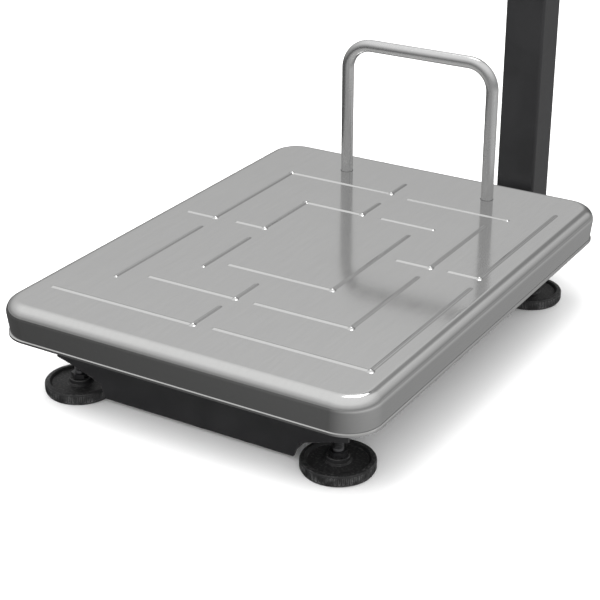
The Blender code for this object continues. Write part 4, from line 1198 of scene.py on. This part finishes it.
def makeInsides():
    # the board with its chips, and the battery
    plan = insidePlan
    low, high = uprightBox("circuit_board")
    board = acrossCorners(block("circuit_board_made", low, high), plan["boardCorner"], 4)
    inset = plan["holeInset"]
    for side in (-1, 1):
        for up in (low.z + inset, high.z - inset):
            drill(board, (side * (high.x - inset), high.y, up), plan["hole"], 3, -5, "Y")
    leanBack(smooth(board, 30), "indicator", "circuit_board", "board", "circuit_board")
    chips = []
    for x, z, wide, tall in plan["chips"]:
        centre = Vector((x * mm, high.y + 0.9 * mm, low.z + z * mm))
        half = Vector((wide, plan["chipTall"], tall)) * (mm / 2)
        chips.append(block("chip", centre - half, centre + half, 0.25 * mm, 1))
    chip = joined(*chips)
    chip.name = "board_chips"
    leanBack(chip, "indicator", "circuit_board", "plastic")
    battery = block("battery_pack", *uprightBox("battery"), plan["batteryRound"], 4)
    leanBack(battery, "indicator", "battery_wrap", "battery", "battery")


def makeSockets():
    plan = insidePlan
    spot, tall = seat("indicator_cable_gland", uprightBox)
    gland = turned("cable_gland", spot, [
        (3, 0), (4.4, 0), (5, 0.3), (6.2, 2.2), (6.4, 5.4), (6.1, 5.8), (5.4, 6), (5.4, tall), (0, tall),
        (0, 6), (3, 6), (3, 0),
    ])
    combine(gland, hexagon("gland_nut", spot, plan["glandFlats"], 6, tall))
    wide = plan["grooveRadius"]
    for turn in range(plan["grooves"]):
        angle = math.tau * turn / plan["grooves"]
        out = spot + Vector((math.cos(angle), math.sin(angle), 0)) * (plan["grooveRing"] * mm)
        groove = turned("groove", out, [(0, 6), (wide, 5.8), (wide, 1), (0, 0.8)], steps=10)
        combine(gland, groove, "DIFFERENCE")
    leanBack(smooth(gland, 35), "indicator", "dark_plastic", "plastic", "indicator_cable_gland")
    spot, tall = seat("power_inlet", uprightBox)
    inlet = turned("power_socket", spot, [
        (2.8, 0.2), (3, 0), (4.6, 0), (5, 0.4), (5, 1.4), (5.4, 1.6), (5.4, tall), (0, tall), (0, 2),
        (2.8, 2), (2.8, 0.2),
    ])
    joined(inlet, turned("pin", spot, [(0, 0.3), (0.7, 0.5), (1, 0.9), (1, 2.2), (0, 2.2)], steps=20))
    leanBack(inlet, "indicator", "zinc_plate", "zinc", "power_inlet")


makeFrontCase()
makeRearCase()
makeWindow()
makeDisplay()
makeKeys()
makeInsides()
makeSockets()
print("built the indicator")


# floor, light and camera

studio = {
    "floor": 0.97, "fill": 1.32, "lens": 96.02, "pitch": 64.93, "turn": 31.0,
    "camera": (0.8406, -1.4393, 0.7157),
    # what metal mirrors, from straight down to straight up: height of the direction, and its brightness
    "mirrored": ((-1.0, 0.3), (-0.55, 0.9), (-0.2, 1.2), (-0.08, 0.6), (0.05, 0.32), (0.18, 0.45),
                 (0.32, 0.62), (0.5, 0.76), (0.75, 1.05), (1.0, 1.1)),
    # below the horizon: where the dimming starts, its factor on the left there, and its growth to the right
    "horizon": -0.12, "lowFrom": -0.62, "low": 0.1, "lowGrowth": 0.33,
    # the dark screen behind the scale: the soft edges of its span, how far back, and how much light it leaves
    "screenLeft": (-0.3, -0.14), "screenRight": (0.25, 0.08), "screenBack": (0.45, 0.62), "screen": 0.42,
    # each lamp's name, place, size, power, and whether metal mirrors it
    "lamps": (
        ("overhead", (-0.7, -0.7, 2.6), (3.0, 3.0), 55, False),
        ("front", (1.8, -2.6, 1.7), (2.0, 1.4), 25, False),
        ("sparkle", (-0.15, 0.95, 2.45), (0.9, 0.9), 14, True),
    ),
}


def makeFloor():
    floor = primitive("plane", "studio_floor", size=14, location=(0, 0, -0.3 * mm))
    pale = (*[studio["floor"]] * 3, 1)
    finish = newFinish("paleFloor", {"Roughness": 0.9, "Specular IOR Level": 0.0, "Base Color": pale})[0]
    floor.data.materials.append(finish)
    floor.visible_glossy = False      # metal mirrors the studio's dark side and not the sheet it stands on


def makeLamp(name, spot, size, power, mirrored):
    bpy.ops.object.light_add(type="AREA", location=spot)
    lamp = bpy.context.object
    lamp.name = name
    lamp.data.shape = "RECTANGLE"
    lamp.data.size, lamp.data.size_y = size
    lamp.data.energy = power
    lamp.visible_glossy = mirrored
    aim = Vector((0, panMiddle.y, 0.1))
    lamp.rotation_euler = (aim - Vector(spot)).to_track_quat("-Z", "Y").to_euler()


def makeSurroundings():
    # an even pale fill; for reflections a studio that is dim at the horizon and bright overhead, darker
    # on the left below the horizon, with a dark screen at the back
    world = bpy.data.worlds.new("studio")
    bpy.context.scene.world = world
    world.use_nodes = True
    tree = world.node_tree
    toward = put(tree, "SeparateXYZ", {0: put(tree, "TexCoord")["Generated"]})
    ramp = tree.nodes.new("ShaderNodeValToRGB")
    marks = ramp.color_ramp.elements
    steps = studio["mirrored"]
    while len(marks) < len(steps):
        marks.new(0.5)
    for mark, (height, bright) in zip(marks, steps):
        mark.position = (height + 1) / 2
        mark.color = (bright, bright, bright, 1)
    tree.links.new(remap(tree, toward["Z"], -1.0, 1.0, 0.0, 1.0), ramp.inputs[0])
    start, low = studio["lowFrom"], studio["low"]
    sideways = remap(tree, toward["X"], start, 1.0, low, low + studio["lowGrowth"] * (1 - start))
    below = remap(tree, toward["Z"], studio["horizon"], 0.0, 1.0, 0.0)
    left = remap(tree, toward["X"], *studio["screenLeft"], 0.0, 1.0)
    right = remap(tree, toward["X"], *studio["screenRight"], 0.0, 1.0)
    back = remap(tree, toward["Y"], *studio["screenBack"], 0.0, 1.0)
    behind = calculate(tree, "MULTIPLY", calculate(tree, "MULTIPLY", left, right), back)
    screened = blendColour(tree, behind, (1, 1, 1), (studio["screen"],) * 3)
    mirrored = stretch(tree, ramp.outputs["Color"], blendColour(tree, below, screened, sideways))
    glossy = put(tree, "LightPath")["Is Glossy Ray"]
    fill = studio["fill"]
    surface = tree.nodes["Background"].inputs
    tree.links.new(blendColour(tree, glossy, (fill, fill, fill), mirrored), surface["Color"])
    surface["Strength"].default_value = 1.0


def makeStudio():
    for lamp in studio["lamps"]:
        makeLamp(*lamp)
    bpy.ops.object.camera_add()
    camera = bpy.context.object
    camera.location = Vector((panMiddle.x, panMiddle.y, panTop)) + Vector(studio["camera"])
    camera.rotation_euler = (math.radians(studio["pitch"]), 0, math.radians(studio["turn"]))
    camera.data.lens = studio["lens"]
    camera.data.sensor_width = 36
    bpy.context.scene.camera = camera
    bpy.context.scene.view_settings.view_transform = "Standard"


makeFloor()
makeSurroundings()
makeStudio()
print("set the studio")
